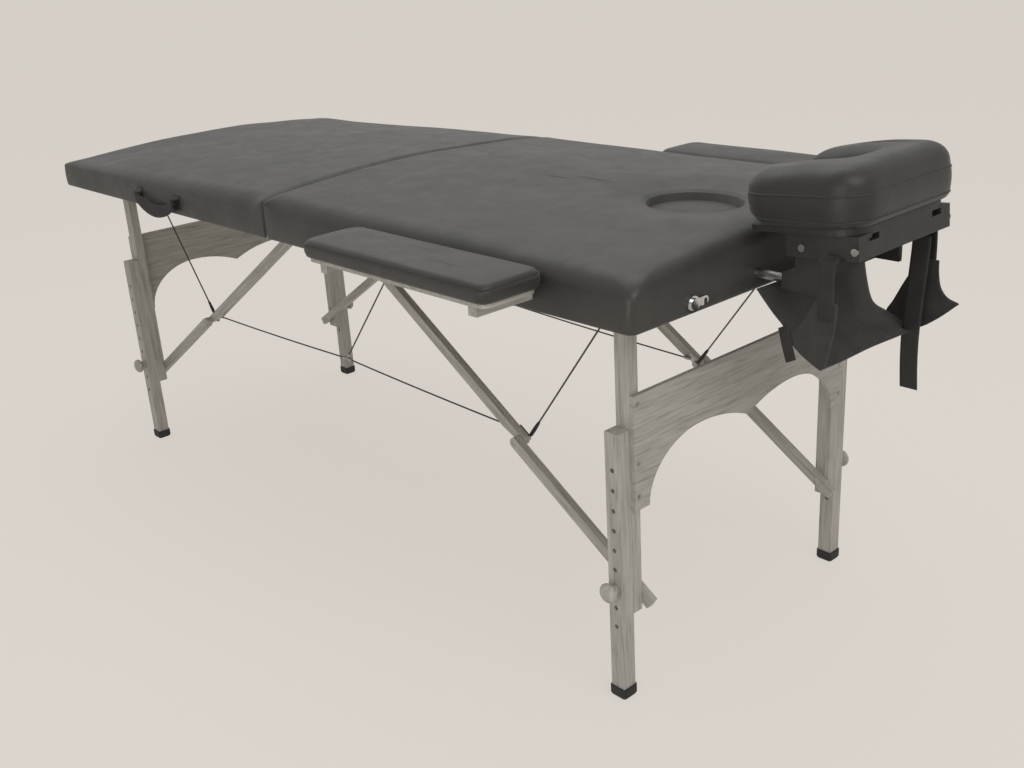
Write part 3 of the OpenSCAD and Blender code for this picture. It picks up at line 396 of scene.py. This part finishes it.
def tube(name, points, radius, material, sides=10):
    rings = []
    for i, p in enumerate(points):
        before, after = points[max(0, i - 1)], points[min(len(points) - 1, i + 1)]
        along = (after - before).normalized()
        side = along.cross(Vector((0, 0, 1)) if abs(along.z) < 0.9 else Vector((1, 0, 0))).normalized()
        up = side.cross(along)
        r = radius[i] if isinstance(radius, list) else radius
        for k in range(sides):
            a = 2 * math.pi * k / sides
            rings.append(p + (side * math.cos(a) + up * math.sin(a)) * r)
    return meshObject(name, rings, ringFaces(sides, len(points)), material)


def joined(name, pieces):
    bpy.ops.object.select_all(action="DESELECT")
    for piece in pieces:
        piece.select_set(True)
    bpy.context.view_layer.objects.active = pieces[0]
    bpy.ops.object.join()
    whole = bpy.context.view_layer.objects.active
    whole.name = name
    return whole


# padded halves
padLook = {
    "length": 0.930, "halfWidth": 0.381, "skirtLow": 0.6752,
    "round": 0.044, "crown": 0.018, "shoulderShare": 0.5,
    "seamRound": 0.016, "seamShare": 0.35, "seamReach": 0.05, "seamGap": 0.0004, "seamLift": 0.003,
    "seamCorner": 0.006, "seamCornerGrowth": 0.014,
    "cornerLow": 0.0135,
    "endFace": 0.004,       # what lies nearer to the hinge than this belongs to the end face
    "railShow": 0.0014,     # the frame's own faces show at the centre hinge, below the cover
    "clear": 0.7262,        # height of the deck's top edge, which the cover must pass outside
    "clearShare": 0.28,     # how far up the shoulder that edge may lie
    "bulge": 0.0016, "crownReach": 0.325, "crownSeamReach": 0.30, "crownCorner": 0.006,
    "sway": 0.0026, "ripple": 0.0007,
    "stations": (0, 0.3, 0.6, 0.93),    # distances from the centre hinge at which the top's height is given
    "head": {"tops": (0.757, 0.757, 0.757, 0.756), "endRound": 0.046, "corner": 0.062},
    "foot": {"tops": (0.757, 0.749, 0.740, 0.734), "endRound": 0.052, "corner": 0.085},
}
breathLook = {
    "inset": 0.200, "long": 0.172, "wide": 0.146,
    "rim": 0.004, "rimReach": 0.006, "dip": 0.009, "dipReach": 0.055,
    "topAbove": 0.745,      # only what is higher than this belongs to the pad's top
    "rounds": (0.03, 0.016), "longEdge": 0.003, "cutLow": 0.715, "cutHigh": 0.85,
}


def eased(t):
    t = min(1, max(0, t))
    return t * t * (3 - 2 * t)


def rimDistance(x, y, look):
    # distance outside the breath hole's rim, near enough for its soft edge
    a, b = look["long"] / 2, look["wide"] / 2
    return (math.hypot((x - padLook["length"] + look["inset"]) / a, y / b) - 1) * min(a, b)


def padTop(x, y, look, end):
    # the top is fullest along the middle line, sinks towards the foot end and dips round the breath hole
    at = look["stations"]
    tops = look[end]["tops"]
    i = min(len(at) - 2, max(k for k in range(len(at)) if at[k] <= max(0, x)))
    z = tops[i] + (tops[i + 1] - tops[i]) * (x - at[i]) / (at[i + 1] - at[i])
    across = min(1, abs(y) / (look["halfWidth"] - look["round"]))
    z += look["crown"] * (1 - across * across)
    sign = 1 if end == "head" else -1
    sway = noise.noise(Vector((x * sign * 4.5, y * 5.5, 1.7))) * look["sway"]
    ripple = noise.noise(Vector((x * sign * 13, y * 12, 4.1))) * look["ripple"]
    z += sway + ripple
    if end == "head":
        away = rimDistance(x, y, breathLook)
        z -= breathLook["dip"] * math.exp(-(max(0, away) / breathLook["dipReach"]) ** 2)
    return z


def makePad(name, end, look):
    arcSteps, sideSteps = 9, 36
    side = 1 if end == "head" else -1
    endRound, topCorner = look[end]["endRound"], look[end]["corner"]
    low = look["skirtLow"]
    rings = []

    def ring(inset, endInset, seam, corner, below=None, turned=0, seamCorner=look["seamCorner"], flat=None):
        # one outline of the cover: a flat one, one below the shoulder, or one that is turned over by it
        loop = roundedLoop(look["seamGap"] + seam, look["length"] - endInset,
                           -look["halfWidth"] + inset, look["halfWidth"] - inset,
                           seamCorner, corner, arcSteps, sideSteps)
        for x, y in loop:
            onEndFace = x < look["endFace"]
            if flat is None:
                top = padTop(x, y, look, end)
                start = max(low + look["shoulderShare"] * (top - low),
                            (look["clear"] - look["clearShare"] * top) / (1 - look["clearShare"]))
                # the seam is a shallow valley
                away = eased(x / look["seamReach"])
                start = top - (top - start) * (look["seamShare"] + (1 - look["seamShare"]) * away)
                z = low + (start - low) * below if below is not None else start + (top - start) * turned
            else:
                z = flat + (look["seamLift"] if onEndFace else 0)     # clear of the hinge pins
            if onEndFace and z < look["clear"]:
                x += look["railShow"]
            rings.append(fromHinge(side * x, y, z))

    # the hem, turned in under the skirt: insets and height above the skirt's low edge
    for inset, seam, above in ((0.0028, 0.0016, 0.03), (0.0028, 0.0016, 0.002),
                               (0.0012, 0.0006, 0), (0.0002, 0, 0.0012)):
        ring(inset, inset, seam, look["cornerLow"], flat=low + above)
    for t in (0.08, 0.2, 0.35, 0.5, 0.7, 0.9):
        ring(-look["bulge"] * math.sin(math.pi * t), 0, 0, look["cornerLow"], below=t)
    shoulderSteps = 14
    for k in range(shoulderSteps + 1):
        a = math.pi / 2 * k / shoulderSteps
        turn = 1 - math.cos(a)
        ring(look["round"] * turn, endRound * turn ** 1.5, look["seamRound"] * turn,
             look["cornerLow"] + (topCorner - look["cornerLow"]) * math.sin(a) ** 3, turned=math.sin(a),
             seamCorner=look["seamCorner"] + look["seamCornerGrowth"] * math.sin(a))
    crownSteps = 28
    fullCorner = look["seamCorner"] + look["seamCornerGrowth"]
    for k in range(1, crownSteps + 1):
        t = k / crownSteps
        reach = look["crownReach"] * t
        ring(look["round"] + reach, endRound + reach, look["seamRound"] + look["crownSeamReach"] * t,
             topCorner * (1 - t) + look["crownCorner"] * t, turned=1,
             seamCorner=fullCorner * (1 - t) + look["crownCorner"])
    count = 4 * (arcSteps + sideSteps)
    return meshObject(name, rings, ringFaces(count, len(rings) // count, capLow=False), padVinyl)


def makeCutter(look):
    middle = fromHinge(padLook["length"] - look["inset"], 0, 0)
    count = 96
    loop = []
    for i in range(count):
        a = 2 * math.pi * i / count
        loop.append((middle.x + look["long"] / 2 * math.cos(a), look["wide"] / 2 * math.sin(a)))
    points = [Vector((x, y, z)) for z in (look["cutLow"], look["cutHigh"]) for x, y in loop]
    return meshObject("breathCutter", points, ringFaces(count, 2), padVinyl, smooth=False)


def softenRim(piece, look):
    made = bmesh.new()
    made.from_mesh(piece.data)

    def nearRim(v, reach):
        return v.co.z > look["topAbove"] and abs(rimDistance(v.co.x - hingeX, v.co.y, look)) < reach

    for reach in look["rounds"]:
        near = [e for e in made.edges
                if all(nearRim(v, reach) for v in e.verts) and e.calc_length() > look["longEdge"]]
        bmesh.ops.subdivide_edges(made, edges=near, cuts=1, use_grid_fill=True)
    for v in made.verts:
        if nearRim(v, look["rounds"][0]):
            away = rimDistance(v.co.x - hingeX, v.co.y, look)
            v.co.z -= look["rim"] * math.exp(-(max(0, away) / look["rimReach"]) ** 2)
    made.to_mesh(piece.data)
    made.free()


footPad = makePad("footPadCover", "foot", padLook)
headPad = makePad("headPadCover", "head", padLook)
softenRim(headPad, breathLook)
cutWith(headPad, makeCutter(breathLook))
for polygon in headPad.data.polygons:
    polygon.use_smooth = True
for piece, body, node in ((headPad, "head_half", "head_pad"), (footPad, "foot_half", "foot_pad")):
    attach(piece, body)
    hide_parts(node)
print("padded halves made")

plugLook = {"gap": 0.0008, "low": 0.7205, "high": 0.7500, "edge": 0.008, "crown": 0.004, "hem": 0.002}


def makePlug(look):
    count = 72
    rings = []
    a, b = breathLook["long"] / 2 - look["gap"], breathLook["wide"] / 2 - look["gap"]
    middle = fromHinge(padLook["length"] - breathLook["inset"], 0, 0)
    low, high, edge = look["low"], look["high"], look["edge"]
    profile = [(look["hem"], low), (0, low + look["hem"])]
    profile += [(0, low + (high - edge - low) * t) for t in (0.3, 0.6, 0.9)]
    profile += [(edge * (1 - math.cos(q)), high - edge * (1 - math.sin(q))) for q in quarter(7)]
    profile += [(edge + (min(a, b) - edge) * t, high + look["crown"] * (1 - (1 - t) ** 2))
                for t in (0.1, 0.25, 0.45, 0.7, 0.95)]
    for inset, z in profile:
        for i in range(count):
            q = 2 * math.pi * i / count
            rings.append(middle + Vector(((a - inset) * math.cos(q), (b - inset) * math.sin(q), z)))
    return meshObject("breathPlugCover", rings, ringFaces(count, len(profile)), padVinyl)


plug = makePlug(plugLook)
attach(plug, "plug")
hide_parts("breath_plug")
print("plug made")

# armrest pads
armLook = {
    "x0": 0.320, "x1": 0.770, "y0": 0.387, "y1": 0.505, "low": 0.7185, "high": 0.033,
    "round": 0.012, "corner": 0.018, "crown": 0.002, "bulge": 0.0012, "ripple": 0.0007,
    "reach": 0.050,     # how far in from the edge the top keeps rising
}


def makeArmPad(name, side, look):
    arcSteps, sideSteps = 6, 22
    rings = []
    r = look["round"]
    edge = look["high"] - look["crown"]
    profile = [(r * 0.5 * (1 - math.sin(a)), r * 0.5 * (1 - math.cos(a))) for a in quarter(5)]
    profile += [(-look["bulge"] * math.sin(math.pi * t), look["high"] * t) for t in (0.3, 0.5, 0.7)]
    profile += [(r * (1 - math.cos(a)), edge - r * 0.9 * (1 - math.sin(a))) for a in quarter(7)]
    # the last ring stays wide enough to close with one flat face
    profile += [(r + (look["reach"] - r) * t, edge + look["crown"] * (1 - (1 - t) ** 2))
                for t in (0.1, 0.22, 0.38, 0.58, 0.8)]
    for inset, z in profile:
        corner = max(0.004, look["corner"] - max(0, inset - r) * 0.3)
        loop = roundedLoop(look["x0"] + inset, look["x1"] - inset, look["y0"] + inset, look["y1"] - inset,
                           corner, corner, arcSteps, sideSteps)
        onTop = z > look["high"] * 0.6
        for x, y in loop:
            ripple = noise.noise(Vector((x * 12, y * 14 * side, 7.3))) * look["ripple"] if onTop else 0
            rings.append(fromHinge(x, side * y, look["low"] + z + ripple))
    count = 4 * (arcSteps + sideSteps)
    return meshObject(name, rings, ringFaces(count, len(profile)), padVinyl)


for label, side in (("near", -1), ("far", 1)):
    armPad = makeArmPad(label + "ArmPadCover", side, armLook)
    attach(armPad, label + "_armrest")
    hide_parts(label + "_arm_pad")
print("armrest pads made")

# face cushion
platformLook = {"pivot": (1.022, 0, 0.757), "lean": -4.5}
tiltPoint = fromHinge(*platformLook["pivot"])
tiltTurn = Matrix.Rotation(math.radians(platformLook["lean"]), 4, "Y")


def tilted(x, y, z):
    return tiltPoint + tiltTurn @ Vector((x, y, z))


cushionLook = {
    "back": -0.103, "front": 0.100, "halfWidth": 0.139, "low": 0.0303, "high": 0.116,
    "armDrop": 0.009, "armReach": 0.12, "underLift": 0.014, "underReach": 0.05,
    "notchHalf": 0.040, "notchFront": 0.012,    # the opening for the face
    "backCorner": 0.056, "innerCorner": 0.014, "frontCorner": 0.046, "notchCorner": 0.018,
    "lowRound": 0.013, "topRound": 0.030, "topReach": 0.036, "belly": 0.0022, "softness": 0.0011,
    "welt": 0.0014, "lowWeltInset": 0.0004, "highWeltInset": -0.0012,
}


def horseshoe(inset, look, arcSteps=7, sideSteps=9):
    # one closed outline of the cushion, drawn in by inset all round
    back, front, half = look["back"] + inset, look["front"] - inset, look["halfWidth"] - inset
    notch, notchFront = look["notchHalf"] + inset, look["notchFront"] + inset
    ri = max(0.004, look["innerCorner"] - inset * 0.3)
    # the two corners of an arm must fit side by side
    rb = min(max(0.006, look["backCorner"] - inset), half - notch - ri - 0.002)
    rf = max(0.008, look["frontCorner"] - inset)
    rn = look["notchCorner"] + inset
    arcs = [(back + rb, -half + rb, rb, 180, 270), (front - rf, -half + rf, rf, 270, 360),
            (front - rf, half - rf, rf, 0, 90), (back + rb, half - rb, rb, 90, 180),
            (back + ri, notch + ri, ri, 180, 270), (notchFront - rn, notch - rn, rn, 90, 0),
            (notchFront - rn, -notch + rn, rn, 0, -90), (back + ri, -notch - ri, ri, 90, 180)]
    loop = []
    for i, (cx, cy, r, start, end) in enumerate(arcs):
        for k in range(arcSteps + 1):
            a = math.radians(start + (end - start) * k / arcSteps)
            loop.append((cx + r * math.cos(a), cy + r * math.sin(a)))
        nx, ny, nr, nstart, nend = arcs[(i + 1) % len(arcs)]
        tx, ty = nx + nr * math.cos(math.radians(nstart)), ny + nr * math.sin(math.radians(nstart))
        sx, sy = loop[-1]
        for k in range(1, sideSteps):
            loop.append((sx + (tx - sx) * k / sideSteps, sy + (ty - sy) * k / sideSteps))
    return loop


def makeFaceCushion(look):
    high = look["high"] - look["low"]
    lowRound, topRound = look["lowRound"], look["topRound"]
    side = high - lowRound - topRound

    def placed(x, y, z, soft=0):
        fromBack = x - look["back"]
        # the top sinks a little towards the open ends of the arms
        drop = look["armDrop"] * (1 - eased(fromBack / look["armReach"])) * eased((z / high - 0.4) / 0.6)
        # the underside rises past the platform, clear of the padded end when it tilts
        lift = look["underLift"] * (1 - eased(fromBack / look["underReach"])) * (1 - eased(z / high / 0.6))
        return tilted(x, y, look["low"] + z + soft - drop + lift)

    profile = [(lowRound * (1 - math.sin(a)), lowRound * (1 - math.cos(a))) for a in quarter(5)]
    profile += [(-look["belly"] * math.sin(math.pi * t), lowRound + side * t) for t in (0.2, 0.4, 0.6, 0.8, 1)]
    profile += [(look["topReach"] * (1 - math.cos(a)), high - topRound * (1 - math.sin(a)))
                for a in quarter(14, 1)]
    points = []
    for inset, z in profile:
        loop = horseshoe(inset, look)
        for x, y in loop:
            soft = noise.noise(Vector((x * 22, y * 20, z * 25 + 3.1))) * look["softness"]
            points.append(placed(x, y, z, soft if z > lowRound else 0))
    cover = meshObject("faceCushionCover", points, ringFaces(len(loop), len(profile)), cushionVinyl)
    welts = []
    for label, z, inset in (("low", lowRound * 0.8, look["lowWeltInset"]),
                            ("high", high - topRound * 1.3, look["highWeltInset"])):
        path = [placed(x, y, z) for x, y in horseshoe(inset, look)]
        welts.append(tube("cushionWelt" + label, path + path[:2], look["welt"], cushionVinyl, sides=8))
    return joined("faceCushionCover", [cover] + welts)


faceCushion = makeFaceCushion(cushionLook)
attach(faceCushion, "platform")
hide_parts("face_cushion")
print("face cushion made")

# arm sling
slingLook = {"thick": 0.0022, "halfWidth": 0.138, "sag": 0.004, "wave": 0.0022, "columns": 9, "sideGap": 0.0008}
strapLook = {"thick": 0.0018, "half": (0.0125, 0, 0), "tailHalf": (0.0148, 0, 0), "nearHalf": (0.008, 0, 0.004)}


def between(a, b, c, d, t):
    # a smooth curve through b and c
    return 0.5 * (2 * b + (c - a) * t + (2 * a - 5 * b + 4 * c - d) * t * t + (3 * b - a - 3 * c + d) * t ** 3)


def denser(line, times):
    made = []
    for i in range(len(line) - 1):
        a, b, c, d = line[max(0, i - 1)], line[i], line[i + 1], line[min(len(line) - 1, i + 2)]
        made += [between(a, b, c, d, k / times) for k in range(times)]
    return made + [line[-1]]


def clothGrid(name, rows, material, thick, times=4):
    rows = [denser(row, times) for row in rows]
    rows = [list(row) for row in zip(*[denser(list(column), times) for column in zip(*rows)])]
    points = [p for row in rows for p in row]
    n = len(rows[0])
    starts = [j * n + i for j in range(len(rows) - 1) for i in range(n - 1)]
    faces = [(k, k + 1, k + n + 1, k + n) for k in starts]
    piece = meshObject(name, points, faces, material)
    body = piece.modifiers.new("body", "SOLIDIFY")
    body.thickness = thick
    body.offset = 0
    applyModifier(piece, "body")
    return piece


def makeSling(look):
    w = look["halfWidth"]
    # near and far end of each line across the sling, as (X, Z), from its back edge to its front edge
    lines = [((0.957, 0.689), (0.963, 0.690)), ((0.972, 0.673), (0.966, 0.664)),
             ((0.988, 0.657), (0.972, 0.636)), ((1.004, 0.643), (0.980, 0.611)),
             ((1.012, 0.630), (0.990, 0.600)), ((1.022, 0.617), (1.008, 0.594)),
             ((1.038, 0.604), (1.032, 0.585)), ((1.056, 0.594), (1.050, 0.578)),
             ((1.069, 0.588), (1.064, 0.577))]
    rows = []
    for j, (near, far) in enumerate(lines):
        row = []
        for i in range(look["columns"]):
            t = i / (look["columns"] - 1)
            drop = look["sag"] * 4 * t * (1 - t) * math.sin(math.pi * j / (len(lines) - 1))
            wave = look["wave"] * math.sin(2.3 * math.pi * t + j * 0.9) * math.sin(math.pi * t)
            x = near[0] + (far[0] - near[0]) * t + wave
            row.append(fromHinge(x, -w + 2 * w * t, near[1] + (far[1] - near[1]) * t - drop))
        rows.append(row)
    cloth = [clothGrid("slingSheet", rows, slingNylon, look["thick"])]
    # side pieces, as (X, Z) rows from the strap down to the sheet
    farRows = [[(1.056, 0.690), (1.065, 0.690), (1.074, 0.690), (1.083, 0.690), (1.092, 0.690)],
               [(1.048, 0.668), (1.060, 0.668), (1.071, 0.669), (1.082, 0.669), (1.093, 0.670)],
               [(1.034, 0.642), (1.050, 0.644), (1.066, 0.646), (1.082, 0.647), (1.098, 0.648)],
               [(1.020, 0.614), (1.042, 0.620), (1.064, 0.625), (1.088, 0.630), (1.110, 0.634)],
               [(1.010, 0.598), (1.036, 0.602), (1.064, 0.608), (1.098, 0.617), (1.128, 0.628)],
               [(1.010, 0.592), (1.032, 0.584), (1.064, 0.577), (1.096, 0.597), (1.127, 0.625)]]
    nearRows = [[(1.056, 0.690), (1.065, 0.690), (1.074, 0.690), (1.083, 0.690), (1.092, 0.690)],
                [(1.046, 0.668), (1.058, 0.668), (1.069, 0.668), (1.080, 0.668), (1.091, 0.668)],
                [(1.030, 0.646), (1.045, 0.645), (1.060, 0.644), (1.074, 0.643), (1.087, 0.642)],
                [(1.013, 0.631), (1.030, 0.622), (1.046, 0.614), (1.062, 0.606), (1.078, 0.600)],
                [(1.008, 0.636), (1.022, 0.617), (1.038, 0.604), (1.056, 0.594), (1.069, 0.588)]]
    for label, side, sideRows in (("far", 1, farRows), ("near", -1, nearRows)):
        y = side * (w + look["sideGap"])
        rows = [[fromHinge(x, y, z) for x, z in row] for row in sideRows]
        cloth.append(clothGrid("slingSide" + label, rows, slingNylon, look["thick"]))
    return joined("armSlingCloth", cloth)


def makeStrap(name, centre, half):
    # a flat strap along centre points; half is its half-width vector
    rows = [[fromHinge(*p) - Vector(half), fromHinge(*p), fromHinge(*p) + Vector(half)] for p in centre]
    return clothGrid(name, rows, strapNylon, strapLook["thick"], 3)


sling = makeSling(slingLook)
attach(sling, "cradle")
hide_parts("arm_sling")
straps = []
for label, side in (("far", 1), ("near", -1)):
    path = [(1.074, side * 0.1235, 0.752), (1.0735, side * 0.133, 0.750), (1.073, side * 0.1385, 0.742),
            (1.0735, side * 0.1400, 0.720), (1.074, side * 0.1400, 0.688), (1.074, side * 0.1400, 0.664)]
    straps.append(makeStrap(label + "SlingStrap", path, strapLook["half"]))
tailPath = [(1.073, 0.1165, 0.732), (1.073, 0.116, 0.712), (1.071, 0.115, 0.670), (1.068, 0.1145, 0.620),
            (1.066, 0.114, 0.570), (1.067, 0.1135, 0.525), (1.070, 0.113, 0.483)]
straps.append(makeStrap("slingStrapTail", tailPath, strapLook["tailHalf"]))
nearPath = [(1.006, -0.1405, 0.642), (1.012, -0.1415, 0.622), (1.018, -0.142, 0.604), (1.022, -0.142, 0.592)]
straps.append(makeStrap("nearSlingTail", nearPath, strapLook["nearHalf"]))
for piece in straps:
    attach(piece, "cradle")
print("arm sling made")

# cables
cableLook = {
    "radius": 0.0016, "knee": (0.546, 0.363), "low": 0.388, "y": 0.2317, "anchor": (0.796, 0.698),
    "sleeve": 0.0036, "crimp": 0.016, "boot": 0.042, "sag": 0.002,
    "eyePath": [(0, 0, 0.660), (0.003, 0, 0.663), (0.008, 0, 0.666), (0.009, 0, 0.670), (0.009, 0, 0.6755)],
    "eye": (0.002, 0.666),      # Y and Z where the centre cables end
}


def cableLine(name, a, b, look, sag=0, boot=None, steps=16):
    points = []
    for i in range(steps + 1):
        t = i / steps
        p = Vector(a).lerp(Vector(b), t)
        p.z -= sag * 4 * t * (1 - t)
        points.append(fromHinge(*p))
    pieces = [tube(name, points, look["radius"], wireRope)]
    # a crimped sleeve at each end, or a black boot at the first end where its length is given
    firstSleeve = (boot, blackRubber) if boot else (look["crimp"], zincSteel)
    for at, onward, (long, material) in ((points[0], points[-1], firstSleeve),
                                         (points[-1], points[0], (look["crimp"], zincSteel))):
        along = (onward - at).normalized()
        path = [at + along * long * t for t in (0, 0.08, 0.5, 0.85, 1)]
        r = look["sleeve"]
        pieces.append(tube(name + "Sleeve", path, [r * 0.7, r, r, r * 0.8, look["radius"] * 1.05], material))
    return joined(name, pieces)


def makeRopes(look):
    (kneeX, kneeZ), (anchorX, anchorZ), low = look["knee"], look["anchor"], look["low"]
    ropes = {"centreHead": [], "centreFoot": []}
    sides = [-look["y"], look["y"]]
    for end, sign in (("head", 1), ("foot", -1)):
        outX, outZ = sign * (kneeX + 0.0055), kneeZ + 0.0075      # each rope leaves its own side of the knee
        inX, inZ = sign * (kneeX - 0.017), kneeZ + 0.011
        ropes[end] = [cableLine("kneeCable", (outX, y, outZ), (sign * anchorX, y, anchorZ),
                                look, boot=look["boot"]) for y in sides]
        ropes["centre" + end.title()] += [cableLine("longCable", (0, y, low), (inX, y, inZ), look, look["sag"])
                                          for y in sides]
    eyeY, eyeZ = look["eye"]
    ropes["centreFoot"] += [cableLine("centreCable", (0, y, low), (0, math.copysign(eyeY, y), eyeZ), look)
                            for y in sides]
    eyePath = [fromHinge(*p) for p in look["eyePath"]]
    ropes["centreFoot"].append(tube("centreEyeRod", eyePath, look["radius"], zincSteel))
    return ropes


ropeSets = makeRopes(cableLook)
# points that would stay put if the ropes were folded flat; the loop below lists them with a joint and an axis
# but does not fold the ropes
frameHigh, frameMiddle = (0, 0, 0.698), (0, 0, 0.6)
for key, body, node, joint, squashAxis, squashAt in (
        ("head", "head_half", "head_cables", "centre_fold_1", (0, 0, 1), frameHigh),
        ("foot", "foot_half", "foot_cables", "centre_fold_1", (0, 0, 1), frameHigh),
        ("centreFoot", "hinge_line", "centre_cables", "centre_fold_1", (1, 0, 0), frameMiddle),
        ("centreHead", "hinge_line", None, "centre_fold_1", (1, 0, 0), frameMiddle)):
    ropes = joined(key + "WireRopes", ropeSets[key])
    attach(ropes, body)
    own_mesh(ropes)
    if node:
        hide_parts(node)
print("cables made")

# handle
handleLook = {
    "x": -0.432, "y": -0.3945, "z": 0.702, "length": 0.172, "drop": 0.026, "wide": 0.024, "thick": 0.005,
    "steps": 24,
}


def makeHandle(look):
    rows = []
    for i in range(look["steps"] + 1):
        t = -1 + 2 * i / look["steps"]
        drop = look["drop"] * (1 - t * t) ** 0.8
        wide = look["wide"] / 2 * (0.75 + 0.35 * (1 - t * t))
        x = look["x"] + t * look["length"] / 2
        rows.append([fromHinge(x, look["y"], look["z"] - drop + wide * s) for s in (1, 0.5, 0, -0.5, -1)])
    return clothGrid("carryHandleWebbing", rows, strapNylon, look["thick"], 2)


handle = makeHandle(handleLook)
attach(handle, "handle")
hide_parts("carry_handle")
print("handle made")

# floor, lights, world
studioLook = {
    "floor": "#ddd8d0", "backdrop": "#ded8d0", "floorHalf": 40, "glowShare": 0.8,
    "world": 0.55, "worldTint": (1, 0.99, 0.97, 1),
    "key": 25, "fill": 8, "top": 27,    # watts
}


def onEitherRay(tree, first, second):
    rays = addNode(tree, "ShaderNodeLightPath")
    seen = addNode(tree, "ShaderNodeMath", {"operation": "MAXIMUM"})
    tree.links.new(rays.outputs[first], seen.inputs[0])
    tree.links.new(rays.outputs[second], seen.inputs[1])
    return seen.outputs[0]


def mixShaders(tree, share, first, second, output):
    mix = addNode(tree, "ShaderNodeMixShader")
    tree.links.new(share, mix.inputs[0])
    tree.links.new(first, mix.inputs[1])
    tree.links.new(second, mix.inputs[2])
    tree.links.new(mix.outputs[0], output.inputs["Surface"])


def makeStudio(look):
    floorMesh = bpy.data.meshes.new("studioFloor")
    f = look["floorHalf"]
    floorMesh.from_pydata([(-f, -f, 0), (f, -f, 0), (f, f, 0), (-f, f, 0)], [], [(0, 1, 2, 3)])
    floor = bpy.data.objects.new("studioFloor", floorMesh)
    bpy.context.collection.objects.link(floor)
    paper = bpy.data.materials.new("seamlessPaper")
    tree = emptyTree(paper)
    output = addNode(tree, "ShaderNodeOutputMaterial")
    diffuse = addNode(tree, "ShaderNodeBsdfDiffuse", {"Color": hexToLinear(look["floor"])})
    glow = addNode(tree, "ShaderNodeEmission", {"Color": hexToLinear(look["backdrop"]), "Strength": 1.0})
    share = addNode(tree, "ShaderNodeMath", {"operation": "MULTIPLY"})
    tree.links.new(onEitherRay(tree, "Is Camera Ray", "Is Glossy Ray"), share.inputs[0])
    share.inputs[1].default_value = look["glowShare"]
    mixShaders(tree, share.outputs[0], diffuse.outputs[0], glow.outputs[0], output)
    floorMesh.materials.append(paper)

    world = bpy.data.worlds.new("studioWorld")
    bpy.context.scene.world = world
    tree = emptyTree(world)
    output = addNode(tree, "ShaderNodeOutputWorld")
    lit = addNode(tree, "ShaderNodeBackground", {"Color": look["worldTint"], "Strength": look["world"]})
    shown = addNode(tree, "ShaderNodeBackground", {"Color": hexToLinear(look["backdrop"]), "Strength": 1.0})
    share = onEitherRay(tree, "Is Camera Ray", "Is Transmission Ray")
    mixShaders(tree, share, lit.outputs[0], shown.outputs[0], output)

    def areaLight(name, at, size, power, aim):
        data = bpy.data.lights.new(name, "AREA")
        data.shape = "RECTANGLE"
        data.size, data.size_y = size
        data.energy = power
        lamp = bpy.data.objects.new(name, data)
        bpy.context.collection.objects.link(lamp)
        place = fromHinge(*at)
        turn = (fromHinge(*aim) - place).to_track_quat("-Z", "Y")
        lamp.matrix_world = Matrix.Translation(place) @ turn.to_matrix().to_4x4()

    areaLight("keyPanel", (2.6, -0.6, 2.4), (1.8, 1.8), look["key"], (0.4, 0, 0.5))
    areaLight("fillPanel", (1.5, -2.1, 0.8), (1.2, 0.8), look["fill"], (0.75, -0.3, 0.35))
    areaLight("topPanel", (-0.5, 0.5, 3.0), (3.0, 2.0), look["top"], (-0.2, 0.1, 0.7))


makeStudio(studioLook)
bpy.context.scene.view_settings.view_transform = "Standard"
print("studio set")
